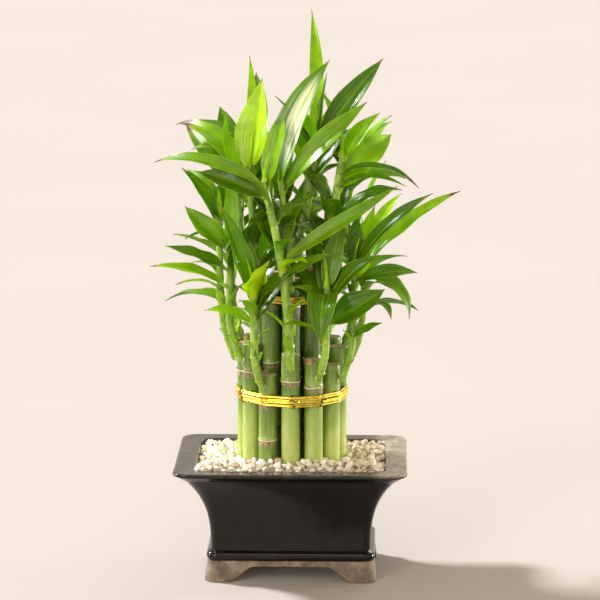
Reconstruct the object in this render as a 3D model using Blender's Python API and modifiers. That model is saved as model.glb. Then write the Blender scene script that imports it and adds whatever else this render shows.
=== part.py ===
"""A three-tiered lucky bamboo arrangement standing in a footed ceramic dish.

Twenty-two cut canes stand in three rings in a bed of marble gravel: twelve low canes outside, seven
longer ones inside them and three thin, long ones in the middle. Two gold wire ties hold the tiers.
From a bud under the top of each cane grows one side shoot, a stem with its own leaves.

Units are metres and +Z is up. The origin is on the surface that the dish stands on, under the middle of
the whole arrangement's box. The leaves reach further to the right (+X) and back (+Y), so the dish's middle
is a little to the left and front of the origin. The front of the dish faces -Y.
"""

import math
from collections import namedtuple

import bmesh
import bpy
from mathutils import Matrix, Vector
from mathutils.bvhtree import BVHTree

MM = 0.001

# The clearance between neighbours that touch in the real plant, and above the dish's floor.
GAP = 0.3 * MM

# Where the dish's middle stands in the frame. The leaves reach further right and back than left and front.
DISH_CENTRE = Vector((-9.5, -5.0, 0.0)) * MM

# Dish: outside half sizes at the rim, and heights from the feet up.
RIM_HALF = Vector((66.0, 51.0)) * MM
RIM_TOP = 67.0 * MM
RIM_EDGE_ROUND = 0.6 * MM
LIP_FOOT = 65.2 * MM
LIP_SLOPE_FOOT = 64.5 * MM
LIP_SLOPE_INSET = 1.0 * MM
FLARE_TOP = 62.0 * MM
FLARE_FOOT = 18.0 * MM
FLARE_INSET = 20.4 * MM
FLARE_TOP_INSET = 5.5 * MM
FLARE_POWER = 2.75
FLARE_STEPS = 7
BEAD_TOP = 17.2 * MM
BEAD_FOOT = 12.4 * MM
BEAD_INSET = 18.0 * MM
BEAD_ROUND = 0.9 * MM
SKIRT_TOP_INSET = 18.5 * MM
SKIRT_FOOT_INSET = 16.9 * MM
RIM_CORNER_RADIUS = 9.0 * MM
CORNER_STEPS = 5

# Dish inside: the mouth, the wall under it and the floor.
MOUTH_INSET = 12.0 * MM
CAVITY_FLOOR = 20.0 * MM
CAVITY_FOOT_INSET = 26.5 * MM
CAVITY_POWER = 0.82
CAVITY_STEPS = 5

# The arches between the corner feet: half widths at the floor and at the flat top.
ARCH_HEIGHT = 9.0 * MM
ARCH_FRONT_FOOT = 37.0 * MM
ARCH_FRONT_TOP = 21.0 * MM
ARCH_SIDE_FOOT = 23.0 * MM
ARCH_SIDE_TOP = 10.0 * MM
ARCH_STEPS = 20

# Gravel bed: low at the wall, heaped up a little at the canes, with a pocket that the canes stand in.
GRAVEL_AT_WALL = 62.5 * MM
GRAVEL_AT_CANES = 67.2 * MM
GRAVEL_HEAP_INSET = 6.0 * MM
POCKET_SIDES = 36

# Canes, in millimetres and degrees: one row for each ring.
Ring = namedtuple("Ring", "name count centre_radius cane_radius first_heading tops node_pitch")
CANE_FOOT = 52.0 * MM
CANE_SIDES = 12
NODE_BULGE = 0.3 * MM
NODE_HALF_HEIGHT = 1.1 * MM
CUT_EDGE_ROUND = 0.5 * MM
OUTER_TOPS = (133, 135, 119, 132, 128, 123, 131, 134, 127, 133, 129, 135)
RINGS = {
    "outer": Ring("outer", 12, 26.0, 5.25, 180.0, OUTER_TOPS, 33.0),
    "middle": Ring("middle", 7, 14.8, 5.25, -141.0, (176, 173, 178, 175, 179, 174, 177), 36.0),
    "inner": Ring("inner", 3, 4.9, 3.9, -60.0, (205, 208, 203), 38.0),
}

# Wire ties: middle height, height of the wound strands and their thickness.
TIE_THICKNESS = 1.1 * MM
LOWER_TIE_HEIGHT = 105.0 * MM
LOWER_TIE_WIDTH = 6.4 * MM
UPPER_TIE_HEIGHT = 160.7 * MM
UPPER_TIE_WIDTH = 4.6 * MM
TIE_SIDES = 48

# Shoots. Lengths are in millimetres and angles in degrees. A heading is counted from +X towards +Y.
# A shoot leaves its cane at the height "bud", turns up within "reach", and ends at "top", moved by "lean".
# A leaf grows from its stem at "height". It sets out at "rise" above level, bends down by "droop" and
# sideways by "sweep" along its length, and its blade is turned about its own midrib by "roll".
Shoot = namedtuple("Shoot", "bud reach top lean leaves")
Leaf = namedtuple("Leaf", "height heading rise droop length width roll sweep", defaults=(0, 0))
STEM_COLLAR = 1.5 * MM
STEM_ROOT_RADIUS = 3.0 * MM
STEM_TIP_RADIUS = 2.0 * MM
STEM_CURVE = 1.5
STEM_LEAN_POWER = 3
STEM_STEPS = 7
LEAF_STEPS = 5
SPINE_STEPS = 20
LEAF_THICKNESS = 0.9 * MM
LEAF_FOLD = math.radians(20.0)
LEAF_BASE_HALF = 1.4 * MM
LEAF_BELLY = 0.7
LEAF_TIP_POWER = 1.15
SWING_STEP = 4.0
SWING_HEADINGS = 12
SWING_RISES = 7
CLEARANCE = 0.5 * MM
FREE_STATION = 1


def fan(top, outward, count, length, width, turn=137.5, low=30.0, high=80.0):
    """The leaves of a shoot that is the same all round: the low ones spread, the top one stands up."""
    leaves = []
    for k in range(count):
        share = k / (count - 1)
        leaves.append(
            Leaf(
                height=top - 3.0 - 8.5 * (count - 1 - k),
                heading=outward + turn * k,
                rise=low + (high - low) * share,
                droop=62.0 - 42.0 * share,
                length=length * (0.86 + 0.2 * math.sin(2.4 * k + 0.1 * outward)),
                width=width * (0.9 + 0.15 * math.cos(1.7 * k + 0.1 * top)),
                roll=14.0 * math.sin(3.1 * k + outward),
            )
        )
    return leaves


SHOOTS = {
    "outer_01": Shoot(124, 8, 205, (0, -2), [
        Leaf(203, -172, 68, 25, 38, 11, -45),
        Leaf(198, 152, 88, 81, 49, 15, -20, -27),
        Leaf(165, -159, 31, 50, 28, 5),
        Leaf(173, 140, 38, 60, 24, 5),
        Leaf(201, 70, 82, 15, 50, 11),
    ]),
    "outer_02": Shoot(126, 8, 192, (2, 0), [
        Leaf(188, -172, 49, 14, 38, 15, -40, -48),
        Leaf(178, -155, 32, 20, 40, 10, -30, -35),
        Leaf(168, -158, 38, 43, 48, 9, -25, -29),
        Leaf(186, -118, 72, 110, 30, 9),
        Leaf(190, 85, 84, 10, 48, 10),
    ]),
    "outer_03": Shoot(113, 8, 168, (0, 0), [
        Leaf(162, -166, 79, 15, 61, 16, -65),
        Leaf(163, -62, 72, 6, 29, 18, 8, 30),
        Leaf(150, 172, 42, 55, 30, 8, -30),
        Leaf(158, 60, 70, 30, 52, 11),
        Leaf(154, -110, 62, 60, 26, 8),
        Leaf(150, 30, 58, 30, 36, 11, 20),
    ]),
    "outer_04": Shoot(124, 6, 232, (-15, 2), [
        Leaf(186, -18, 36, 6, 79, 13, 50, 40),
        Leaf(228, 172, 35, 55, 75, 12, -35, -34),
        Leaf(222, -178, 30, 26, 44, 15, -50, -30),
        Leaf(191, -62, 66, 70, 21, 10),
        Leaf(176, -15, 40, 20, 32, 10, 30, 10),
        Leaf(207, 15, 50, 30, 26, 9, 20),
        Leaf(180, -40, 73, 93, 21, 11),
    ]),
    "outer_05": Shoot(118, 8, 172, (0, 0), [
        Leaf(166, -97, 34, 140, 44, 17, 0, 5),
        Leaf(150, -21, 34, 6, 38, 15, 45, 50),
        Leaf(168, 24, 83, 15, 46, 11, 60),
        Leaf(158, -140, 60, 50, 30, 9, -30),
        Leaf(162, 100, 66, 40, 48, 11),
        Leaf(156, 165, 66, 30, 40, 13, -20),
        Leaf(142, -155, 46, 50, 30, 10),
    ]),
    "outer_06": Shoot(114, 8, 182, (0, 0), [
        Leaf(176, -30, 66, 39, 67, 14, 42, 38),
        Leaf(172, -11, 27, 43, 39, 10, 40, 47),
        Leaf(150, -37, 49, 78, 52, 7, 0, -49),
        Leaf(140, -18, 46, 10, 20, 7, 35),
        Leaf(178, 85, 76, 20, 34, 10),
    ]),
    "outer_07": Shoot(121, 8, 188, (0, 0), [
        Leaf(176, -1, 57, 43, 74, 14, 30, 36),
        Leaf(172, -23, 7, 99, 41, 10, 35, 33),
        Leaf(184, -4, 84, 12, 29, 8, 70),
        Leaf(180, 60, 60, 45, 60, 12),
        Leaf(166, 130, 50, 50, 40, 9),
    ]),
    "middle_01": Shoot(169, 5, 236, (-3, 0), [
        Leaf(232, 67, 72, -4, 53, 20, -4, -10),
        Leaf(228, 80, 68, 11, 76, 12, 0, 23),
        Leaf(226, -171, 46, -62, 46, 10, -30, -21),
        Leaf(222, 154, 68, 88, 77, 12, -30, -30),
        Leaf(214, 145, 42, 26, 84, 10, -25, -39),
    ]),
    "middle_02": Shoot(167, 5, 230, (-6, 0), [
        Leaf(226, -27, 90, 42, 76, 20, 60, 48),
        Leaf(222, -21, 61, 31, 73, 14, 48, 62),
        Leaf(187, 178, 52, -10, 37, 16, -30, -70),
        Leaf(214, 112, 65, 40, 62, 12),
        Leaf(206, -125, 60, 45, 40, 11, -20),
        Leaf(200, -60, 74, 20, 26, 9),
    ]),
    "middle_03": Shoot(170, 6, 243, (7, 0), [
        Leaf(222, 1, 68, 47, 50, 20, 45, 53),
        Leaf(233, -28, 30, 72, 52, 8, 10, 10),
        Leaf(226, -43, 32, 55, 46, 8, 10, 26),
        Leaf(240, 0, 62, 20, 35, 12, 42),
        Leaf(205, -95, 62, 60, 34, 11),
        Leaf(192, -150, 50, 40, 36, 10, -20),
        Leaf(187, -80, 56, 70, 36, 12),
    ]),
    "middle_04": Shoot(169, 9, 236, (2, 0), [
        Leaf(214, -20, 68, 92, 40, 15, 20, 10),
        Leaf(206, 18, 50, 60, 38, 10, 22),
        Leaf(226, -34, 70, 35, 50, 12, 35),
        Leaf(222, 62, 55, 50, 64, 12),
        Leaf(233, 148, 76, 20, 48, 11),
    ]),
    "inner_01": Shoot(197, 8, 252, (6, 1), [
        Leaf(248, 14, 57, 15, 63, 16, 46, 20),
        Leaf(246, 88, 70, 32, 92, 12, 0, 11),
        Leaf(250, -60, 81, 4, 41, 11, 50),
        Leaf(236, -118, 62, 45, 40, 12, -15),
    ]),
    "inner_03": Shoot(195, 8, 248, (0, 2), [
        Leaf(243, 100, 66, 15, 36, 11),
        Leaf(238, 165, 31, 50, 42, 13, -20),
        Leaf(234, -164, 52, 50, 46, 12, -25),
    ]),
    "inner_02": Shoot(199, 8, 247, (0, 3), fan(247, 58, 6, 46, 13, low=42.0)),
    "middle_05": Shoot(170, 8, 234, (0, 2), fan(234, 64, 6, 52, 13)),
    "middle_06": Shoot(168, 8, 229, (0, 2), fan(229, 118, 6, 50, 13, turn=-137.5)),
    "middle_07": Shoot(170, 8, 236, (-3, 0), fan(236, 166, 6, 52, 13)),
    "outer_08": Shoot(124, 8, 190, (0, 0), fan(190, 30, 6, 52, 12)),
    "outer_09": Shoot(117, 9, 178, (0, 0), fan(178, 66, 6, 46, 12)),
    "outer_10": Shoot(123, 8, 186, (2, 0), fan(186, 95, 6, 46, 13)),
    "outer_11": Shoot(119, 9, 176, (-2, 0), fan(176, 118, 6, 46, 12)),
    "outer_12": Shoot(125, 8, 194, (0, 0), fan(194, 148, 6, 50, 12)),
}


def clear_scene():
    """Empty the file of objects and of this model's collections."""
    for old in list(bpy.data.objects):
        bpy.data.objects.remove(old, do_unlink=True)
    for group in list(bpy.data.collections):
        bpy.data.collections.remove(group)


def new_collection(name):
    """A collection linked to the scene."""
    group = bpy.data.collections.new(name)
    bpy.context.scene.collection.children.link(group)
    return group


def material(name, colour, roughness, metallic=0.0):
    """A plain Principled material."""
    made = bpy.data.materials.new(name)
    made.use_nodes = True
    shader = made.node_tree.nodes["Principled BSDF"]
    shader.inputs["Base Color"].default_value = (*colour, 1.0)
    shader.inputs["Roughness"].default_value = roughness
    shader.inputs["Metallic"].default_value = metallic
    return made


def add_object(name, mesh, group, look=None):
    """An object of this mesh in a collection, smooth apart from its sharp edges."""
    made = bpy.data.objects.new(name, mesh)
    group.objects.link(made)
    if look:
        mesh.materials.clear()
        mesh.materials.append(look)
    return made


def mesh_from(shape, name):
    """Turn a bmesh into a mesh and free it."""
    bmesh.ops.recalc_face_normals(shape, faces=shape.faces)
    mesh = bpy.data.meshes.new(name)
    shape.to_mesh(mesh)
    shape.free()
    return mesh


def as_cutter(tool):
    """Hide an object that only cuts or joins others."""
    tool.hide_render = True
    tool.display_type = "WIRE"
    return tool


def evaluated_mesh(item):
    """A new mesh of the object with its modifiers applied."""
    bpy.context.view_layer.update()
    depsgraph = bpy.context.evaluated_depsgraph_get()
    return bpy.data.meshes.new_from_object(item.evaluated_get(depsgraph))


def combine(item, tool, operation):
    """Cut or join an object with a tool for good, and remove the tool."""
    modifier = item.modifiers.new(operation.title(), "BOOLEAN")
    modifier.operation = operation
    modifier.object = tool
    modifier.solver = "EXACT"
    result = evaluated_mesh(item)
    item.modifiers.remove(modifier)
    old = item.data
    item.data = result
    bpy.data.meshes.remove(old)
    bpy.data.objects.remove(tool, do_unlink=True)


def rounded_rectangle(half_x, half_y, radius, height):
    """The points of a rounded rectangle about the dish's middle, counter-clockwise."""
    points = []
    for quarter in range(4):
        start = quarter * math.pi / 2.0
        side_x = 1.0 if quarter in (0, 3) else -1.0
        side_y = 1.0 if quarter in (0, 1) else -1.0
        corner = Vector((side_x * (half_x - radius), side_y * (half_y - radius), height))
        for step in range(CORNER_STEPS + 1):
            angle = start + step / CORNER_STEPS * math.pi / 2.0
            points.append(DISH_CENTRE + corner + radius * Vector((math.cos(angle), math.sin(angle), 0.0)))
    return points


def loft(name, sections):
    """A closed mesh through rings of equal point counts, with flat ends."""
    shape = bmesh.new()
    rings = [[shape.verts.new(point) for point in section] for section in sections]
    count = len(rings[0])
    for low, high in zip(rings, rings[1:]):
        for k in range(count):
            following = (k + 1) % count
            shape.faces.new((low[k], low[following], high[following], high[k]))
    shape.faces.new(rings[0])
    shape.faces.new(rings[-1])
    return mesh_from(shape, name)


def dish_section(height, inset):
    """A level slice of the dish, this far inside the rim's edge."""
    radius = max(RIM_CORNER_RADIUS - 0.15 * inset, 3.0 * MM)
    return rounded_rectangle(RIM_HALF.x - inset, RIM_HALF.y - inset, radius, height)


def cavity_inset(height):
    """How far inside the rim's edge the dish's inner wall lies at a height."""
    share = (height - CAVITY_FLOOR) / (RIM_TOP - CAVITY_FLOOR)
    share = min(max(share, 0.0), 1.0)
    return MOUTH_INSET + (CAVITY_FOOT_INSET - MOUTH_INSET) * (1.0 - share) ** CAVITY_POWER


def arch_cutter(name, foot, top, length, along_x, group):
    """A bar with an arched top that cuts the gap between two feet."""
    shape = bmesh.new()
    bmesh.ops.create_cube(shape, size=1.0)
    wide = [edge for edge in shape.edges if abs(edge.verts[0].co.x - edge.verts[1].co.x) > 0.5]
    bmesh.ops.subdivide_edges(shape, edges=wide, cuts=ARCH_STEPS - 1, use_grid_fill=True)
    for vertex in shape.verts:
        across = 2.0 * vertex.co.x * foot
        share = min(max((foot - abs(across)) / (foot - top), 0.0), 1.0)
        height = ARCH_HEIGHT * share * share * (3.0 - 2.0 * share)
        z = height if vertex.co.z > 0.0 else -2.0 * MM
        vertex.co = Vector((across, vertex.co.y * length, z))
    if along_x:
        bmesh.ops.rotate(shape, verts=shape.verts, matrix=Matrix.Rotation(math.pi / 2.0, 3, "Z"))
    bmesh.ops.translate(shape, verts=shape.verts, vec=DISH_CENTRE)
    return as_cutter(add_object(name, mesh_from(shape, name), group))


def build_dish(parts, cutters):
    """The fired dish: flared outside, hollow inside, arched between its corner feet."""
    outline = [(0.0, SKIRT_FOOT_INSET), (BEAD_FOOT - BEAD_ROUND, SKIRT_TOP_INSET)]
    outline += [(BEAD_FOOT, BEAD_INSET), (BEAD_TOP - BEAD_ROUND, BEAD_INSET)]
    outline += [(BEAD_TOP, BEAD_INSET + BEAD_ROUND)]
    for step in range(FLARE_STEPS + 1):
        share = step / FLARE_STEPS
        height = FLARE_FOOT + (FLARE_TOP - FLARE_FOOT) * share
        inset = FLARE_TOP_INSET + (FLARE_INSET - FLARE_TOP_INSET) * (1.0 - share**FLARE_POWER)
        outline.append((height, inset))
    outline += [(LIP_SLOPE_FOOT, LIP_SLOPE_INSET), (LIP_FOOT, 0.0)]
    outline += [(RIM_TOP - RIM_EDGE_ROUND, 0.0), (RIM_TOP, RIM_EDGE_ROUND)]
    look = material("black_glaze", (0.018, 0.016, 0.014), 0.22)
    dish = add_object("dish", loft("dish", [dish_section(z, inset) for z, inset in outline]), parts, look)

    heights = [CAVITY_FLOOR + (RIM_TOP - CAVITY_FLOOR) * k / CAVITY_STEPS for k in range(CAVITY_STEPS + 1)]
    sections = [dish_section(z, cavity_inset(z)) for z in heights]
    sections.append(dish_section(RIM_TOP + 2.0 * MM, MOUTH_INSET))
    cavity = as_cutter(add_object("cavity_cutter", loft("cavity", sections), cutters))
    combine(dish, cavity, "DIFFERENCE")
    reach = 2.4 * RIM_HALF.x
    front = arch_cutter("front_arch_cutter", ARCH_FRONT_FOOT, ARCH_FRONT_TOP, reach, False, cutters)
    combine(dish, front, "DIFFERENCE")
    side = arch_cutter("side_arch_cutter", ARCH_SIDE_FOOT, ARCH_SIDE_TOP, reach, True, cutters)
    combine(dish, side, "DIFFERENCE")
    return dish


def build_gravel(parts, cutters):
    """The bed of chips as one solid, clear of the dish and with a pocket for the canes."""
    steps = CAVITY_STEPS
    heights = [CAVITY_FLOOR + GAP + (GRAVEL_AT_WALL - CAVITY_FLOOR - GAP) * k / steps for k in range(steps + 1)]
    sections = [dish_section(z, cavity_inset(z) + 3.0 * GAP) for z in heights]
    sections.append(dish_section(GRAVEL_AT_CANES, cavity_inset(GRAVEL_AT_WALL) + GRAVEL_HEAP_INSET))
    look = material("marble_chips", (0.78, 0.74, 0.66), 0.8)
    gravel = add_object("gravel", loft("gravel", sections), parts, look)

    ring = RINGS["outer"]
    clear = (ring.centre_radius + ring.cane_radius) * MM + GAP
    shape = bmesh.new()
    bmesh.ops.create_cone(
        shape,
        cap_ends=True,
        segments=POCKET_SIDES,
        radius1=clear / math.cos(math.pi / POCKET_SIDES),
        radius2=clear / math.cos(math.pi / POCKET_SIDES),
        depth=RIM_TOP,
    )
    lift = Vector((0.0, 0.0, CANE_FOOT - GAP + RIM_TOP / 2.0))
    bmesh.ops.translate(shape, verts=shape.verts, vec=DISH_CENTRE + lift)
    pocket = as_cutter(add_object("pocket_cutter", mesh_from(shape, "pocket"), cutters))
    combine(gravel, pocket, "DIFFERENCE")
    return gravel


def turned(name, profile, sides, centre, group, look):
    """A solid turned from a profile of (radius, height) points that runs from the top down."""
    mesh = bpy.data.meshes.new(name)
    edges = [(k, k + 1) for k in range(len(profile) - 1)]
    mesh.from_pydata([(radius, 0.0, height) for radius, height in profile], edges, [])
    item = add_object(name, mesh, group, look)
    item.location = centre
    screw = item.modifiers.new("Turn", "SCREW")
    screw.steps = sides
    screw.render_steps = sides
    screw.use_merge_vertices = True
    screw.merge_threshold = 0.00005
    screw.use_normal_calculate = True
    return item


def cane_place(ring, index):
    """The foot of a cane and the heading, in degrees, from the middle out to it."""
    heading = ring.first_heading + 360.0 / ring.count * index
    out = Vector((math.cos(math.radians(heading)), math.sin(math.radians(heading)), 0.0))
    return DISH_CENTRE + ring.centre_radius * MM * out, heading


def build_cane(ring, index, parts, look):
    """One cane: a smooth stick with raised node rings and a cut top."""
    foot, _ = cane_place(ring, index)
    radius = ring.cane_radius * MM
    top = ring.tops[index] * MM
    profile = [(0.0, top), (radius - CUT_EDGE_ROUND, top), (radius, top - CUT_EDGE_ROUND)]
    node = top - 16.0 * MM
    while node > CANE_FOOT + 8.0 * MM:
        profile.append((radius, node + NODE_HALF_HEIGHT))
        profile.append((radius + NODE_BULGE, node))
        profile.append((radius, node - NODE_HALF_HEIGHT))
        node -= ring.node_pitch * MM
    profile += [(radius, CANE_FOOT), (0.0, CANE_FOOT)]
    name = f"cane_{ring.name}_{index + 1:02d}"
    return turned(name, profile, CANE_SIDES, (foot.x, foot.y, 0.0), parts, look)


def build_tie(name, ring, height, width, parts, look):
    """A closed band of wire strands round the canes of one ring."""
    inner = (ring.centre_radius + ring.cane_radius) * MM + GAP
    inner /= math.cos(math.pi / TIE_SIDES)
    outer = inner + TIE_THICKNESS
    soft = 0.3 * TIE_THICKNESS
    half = width / 2.0
    profile = [
        (outer - soft, height + half),
        (outer, height + half - soft),
        (outer, height - half + soft),
        (outer - soft, height - half),
        (inner, height - half),
        (inner, height + half),
        (outer - soft, height + half),
    ]
    return turned(name, profile, TIE_SIDES, (DISH_CENTRE.x, DISH_CENTRE.y, 0.0), parts, look)


def stem_point(root, outward, shoot, share):
    """A point of a shoot's stem, at a share of its length above the collar."""
    out = shoot.reach * MM * (1.0 - (1.0 - share) ** 3)
    rise = (shoot.top - shoot.bud) * MM * share**STEM_CURVE
    lean = Vector((shoot.lean[0], shoot.lean[1], 0.0)) * MM * share**STEM_LEAN_POWER
    return root + outward * (STEM_COLLAR + out) + Vector((0.0, 0.0, rise)) + lean


def shoot_root(ring, index, shoot):
    """Where a shoot meets its cane, and the direction in which it sets out."""
    foot, heading = cane_place(ring, index)
    outward = Vector((math.cos(math.radians(heading)), math.sin(math.radians(heading)), 0.0))
    root = foot + outward * (ring.cane_radius * MM + GAP)
    root.z = shoot.bud * MM
    return root, outward


def build_stem(name, root, outward, shoot):
    """A shoot's stem as a closed tapering tube."""
    curve = bpy.data.curves.new(name, "CURVE")
    curve.dimensions = "3D"
    curve.bevel_depth = 1.0
    curve.bevel_resolution = 1
    curve.use_fill_caps = True
    spline = curve.splines.new("POLY")
    points = [root]
    points += [stem_point(root, outward, shoot, k / STEM_STEPS) for k in range(STEM_STEPS + 1)]
    spline.points.add(len(points) - 1)
    for k, point in enumerate(points):
        taper = max(k - 1, 0) / STEM_STEPS
        spline.points[k].co = (*point, 1.0)
        spline.points[k].radius = STEM_ROOT_RADIUS + (STEM_TIP_RADIUS - STEM_ROOT_RADIUS) * taper
    tube = bpy.data.objects.new(name, curve)
    bpy.context.scene.collection.objects.link(tube)
    mesh = evaluated_mesh(tube)
    bpy.data.objects.remove(tube, do_unlink=True)
    shape = bmesh.new()
    shape.from_mesh(mesh)
    bpy.data.meshes.remove(mesh)
    bmesh.ops.remove_doubles(shape, verts=shape.verts, dist=0.02 * MM)
    return mesh_from(shape, name)


def leaf_base(leaf, root, outward, shoot):
    """The point inside the stem where a leaf begins."""
    share = (leaf.height - shoot.bud) / (shoot.top - shoot.bud)
    return stem_point(root, outward, shoot, share ** (1.0 / STEM_CURVE))


def leaf_frame(leaf, share):
    """The midrib's direction, the blade's side and its upper face at a share of the length."""
    heading = math.radians(leaf.heading + leaf.sweep * share)
    rise = math.radians(leaf.rise - leaf.droop * share)
    level = Vector((math.cos(heading), math.sin(heading), 0.0))
    along = level * math.cos(rise) + Vector((0.0, 0.0, math.sin(rise)))
    side = Vector((-level.y, level.x, 0.0))
    turn = Matrix.Rotation(math.radians(leaf.roll), 3, along)
    return along, turn @ side, turn @ along.cross(side)


def leaf_width(leaf, share):
    """Half the blade's width: a narrow clasping base, a belly and a long fine tip."""
    belly = math.sin(math.pi * min(share, 1.0) ** LEAF_BELLY) ** LEAF_TIP_POWER
    return 0.5 * leaf.width * MM * belly + LEAF_BASE_HALF * (1.0 - share) ** 3 * (1.0 - belly)


def leaf_sections(leaf, base, swell=0.0):
    """Folded four-cornered slices of a leaf: underside, one margin, midrib, other margin."""
    step = leaf.length * MM / SPINE_STEPS
    point = base.copy()
    sections = []
    for k in range(SPINE_STEPS + 1):
        share = k / SPINE_STEPS
        if k % (SPINE_STEPS // LEAF_STEPS) == 0:
            _, side, up = leaf_frame(leaf, share)
            half = leaf_width(leaf, share) if share < 1.0 else 0.0
            reach = side * (half * math.cos(LEAF_FOLD) + swell)
            lift = up * half * math.sin(LEAF_FOLD)
            depth = up * (LEAF_THICKNESS * math.sqrt(1.0 - share) + swell)
            sections.append((point - depth, point - reach + lift, point + up * swell, point + reach + lift))
        along, _, _ = leaf_frame(leaf, share + 0.5 / SPINE_STEPS)
        point = point + along * step
    return sections


def leaf_mesh(name, sections):
    """A leaf as a solid: a bar cut across into steps, with its corners moved to the slices."""
    shape = bmesh.new()
    bmesh.ops.create_cube(shape, size=1.0)
    lengthwise = [edge for edge in shape.edges if abs(edge.verts[0].co.x - edge.verts[1].co.x) > 0.5]
    bmesh.ops.subdivide_edges(shape, edges=lengthwise, cuts=LEAF_STEPS - 1, use_grid_fill=True)
    corners = {(False, False): 0, (True, False): 3, (True, True): 2, (False, True): 1}
    for vertex in shape.verts:
        station = round((vertex.co.x + 0.5) * LEAF_STEPS)
        corner = corners[(vertex.co.y > 0.0, vertex.co.z > 0.0)]
        vertex.co = sections[station][corner]
    bmesh.ops.remove_doubles(shape, verts=shape.verts, dist=0.01 * MM)
    return mesh_from(shape, name)


def box_of(points):
    """The lowest and highest corner of some points."""
    low = Vector([min(point[axis] for point in points) for axis in range(3)])
    high = Vector([max(point[axis] for point in points) for axis in range(3)])
    return low, high


def boxes_meet(one, other):
    """Whether two boxes touch."""
    return all(one[0][axis] <= other[1][axis] and other[0][axis] <= one[1][axis] for axis in range(3))


def section_body(sections):
    """A search tree and a box for the skin of a run of four-cornered slices."""
    points = [corner for section in sections for corner in section]
    faces = [(0, 1, 2, 3), tuple(len(points) - 4 + k for k in range(4))]
    for station in range(len(sections) - 1):
        for k in range(4):
            following = (k + 1) % 4
            low, high = 4 * station, 4 * station + 4
            faces.append((low + k, low + following, high + following, high + k))
    return BVHTree.FromPolygons(points, faces), box_of(points)


def item_body(item):
    """A search tree and a box for an object's finished surface."""
    mesh = evaluated_mesh(item)
    points = [item.matrix_world @ vertex.co for vertex in mesh.vertices]
    faces = [tuple(face.vertices) for face in mesh.polygons]
    bpy.data.meshes.remove(mesh)
    return BVHTree.FromPolygons(points, faces), box_of(points)


def swings():
    """Small turns of a leaf's heading and rise, in degrees, from none to the largest."""
    steps = []
    for across in range(-SWING_HEADINGS, SWING_HEADINGS + 1):
        for upward in range(-SWING_RISES, SWING_RISES + 1):
            steps.append((across * across + 1.5 * upward * upward, across * SWING_STEP, upward * SWING_STEP))
    return [(across, upward) for _, across, upward in sorted(steps)]


def clear_leaf(leaf, base, owner, bodies):
    """The leaf's slices after the smallest swing that takes it clear of everything, or None."""
    for across, upward in swings():
        trial = leaf._replace(heading=leaf.heading + across, rise=leaf.rise + upward)
        sections = leaf_sections(trial, base, CLEARANCE)
        whole = section_body(sections)
        free = section_body(sections[FREE_STATION:])
        for name, (tree, box) in bodies:
            mine = free if name == owner else whole
            if boxes_meet(mine[1], box) and mine[0].overlap(tree):
                break
        else:
            return leaf_sections(trial, base)
    return None


def build_shoots(parts, look, bodies):
    """Every shoot: all stems first, then each leaf in turn, swung clear of what stands already.

    A leaf that finds no room near its place is left out.
    """
    stems = {}
    for key, shoot in SHOOTS.items():
        ring, number = key.split("_")
        root, outward = shoot_root(RINGS[ring], int(number) - 1, shoot)
        item = add_object(f"shoot_{key}", build_stem(key, root, outward, shoot), parts, look)
        stems[key] = (item, shoot, root, outward)
        bodies.append((key, item_body(item)))
    for key, (item, shoot, root, outward) in stems.items():
        for leaf in shoot.leaves:
            sections = clear_leaf(leaf, leaf_base(leaf, root, outward, shoot), key, bodies)
            if sections is None:
                continue
            bodies.append((key, section_body(sections)))
            bodies.append((f"{key}_outer", section_body(sections[FREE_STATION:])))
            combine(item, add_object("leaf", leaf_mesh("leaf", sections), parts), "UNION")
        item.data.materials.clear()
        item.data.materials.append(look)


def main():
    """Build the whole arrangement."""
    clear_scene()
    parts = new_collection("lucky_bamboo")
    cutters = new_collection("cutters")
    dish = build_dish(parts, cutters)
    gravel = build_gravel(parts, cutters)
    cane_look = material("cane_green", (0.28, 0.42, 0.09), 0.4)
    leaf_look = material("leaf_green", (0.12, 0.36, 0.02), 0.35)
    gold = material("gold_wire", (0.86, 0.58, 0.12), 0.25, 1.0)
    places = [(ring, index) for ring in RINGS.values() for index in range(ring.count)]
    canes = [build_cane(ring, index, parts, cane_look) for ring, index in places]
    lower = build_tie("lower_tie", RINGS["outer"], LOWER_TIE_HEIGHT, LOWER_TIE_WIDTH, parts, gold)
    upper = build_tie("upper_tie", RINGS["middle"], UPPER_TIE_HEIGHT, UPPER_TIE_WIDTH, parts, gold)
    bodies = [(item.name, item_body(item)) for item in [dish, gravel, lower, upper, *canes]]
    build_shoots(parts, leaf_look, bodies)
    for item in parts.objects:
        item.data.shade_smooth()
        item.data.set_sharp_from_angle(angle=math.radians(35.0))


main()
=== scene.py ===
"""The lucky bamboo in its footed dish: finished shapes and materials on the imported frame.

Every CAD solid is replaced by a finer piece of the same place and size. Lengths are in metres, and a name
that ends in _MM holds millimetres.
"""

import random
from collections import namedtuple
from math import atan2, copysign, cos, degrees, exp, hypot, pi, radians, sin, sqrt

import bmesh
import bpy
import numpy as np
from mathutils import Matrix, Vector, noise
from mathutils.kdtree import KDTree


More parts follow.
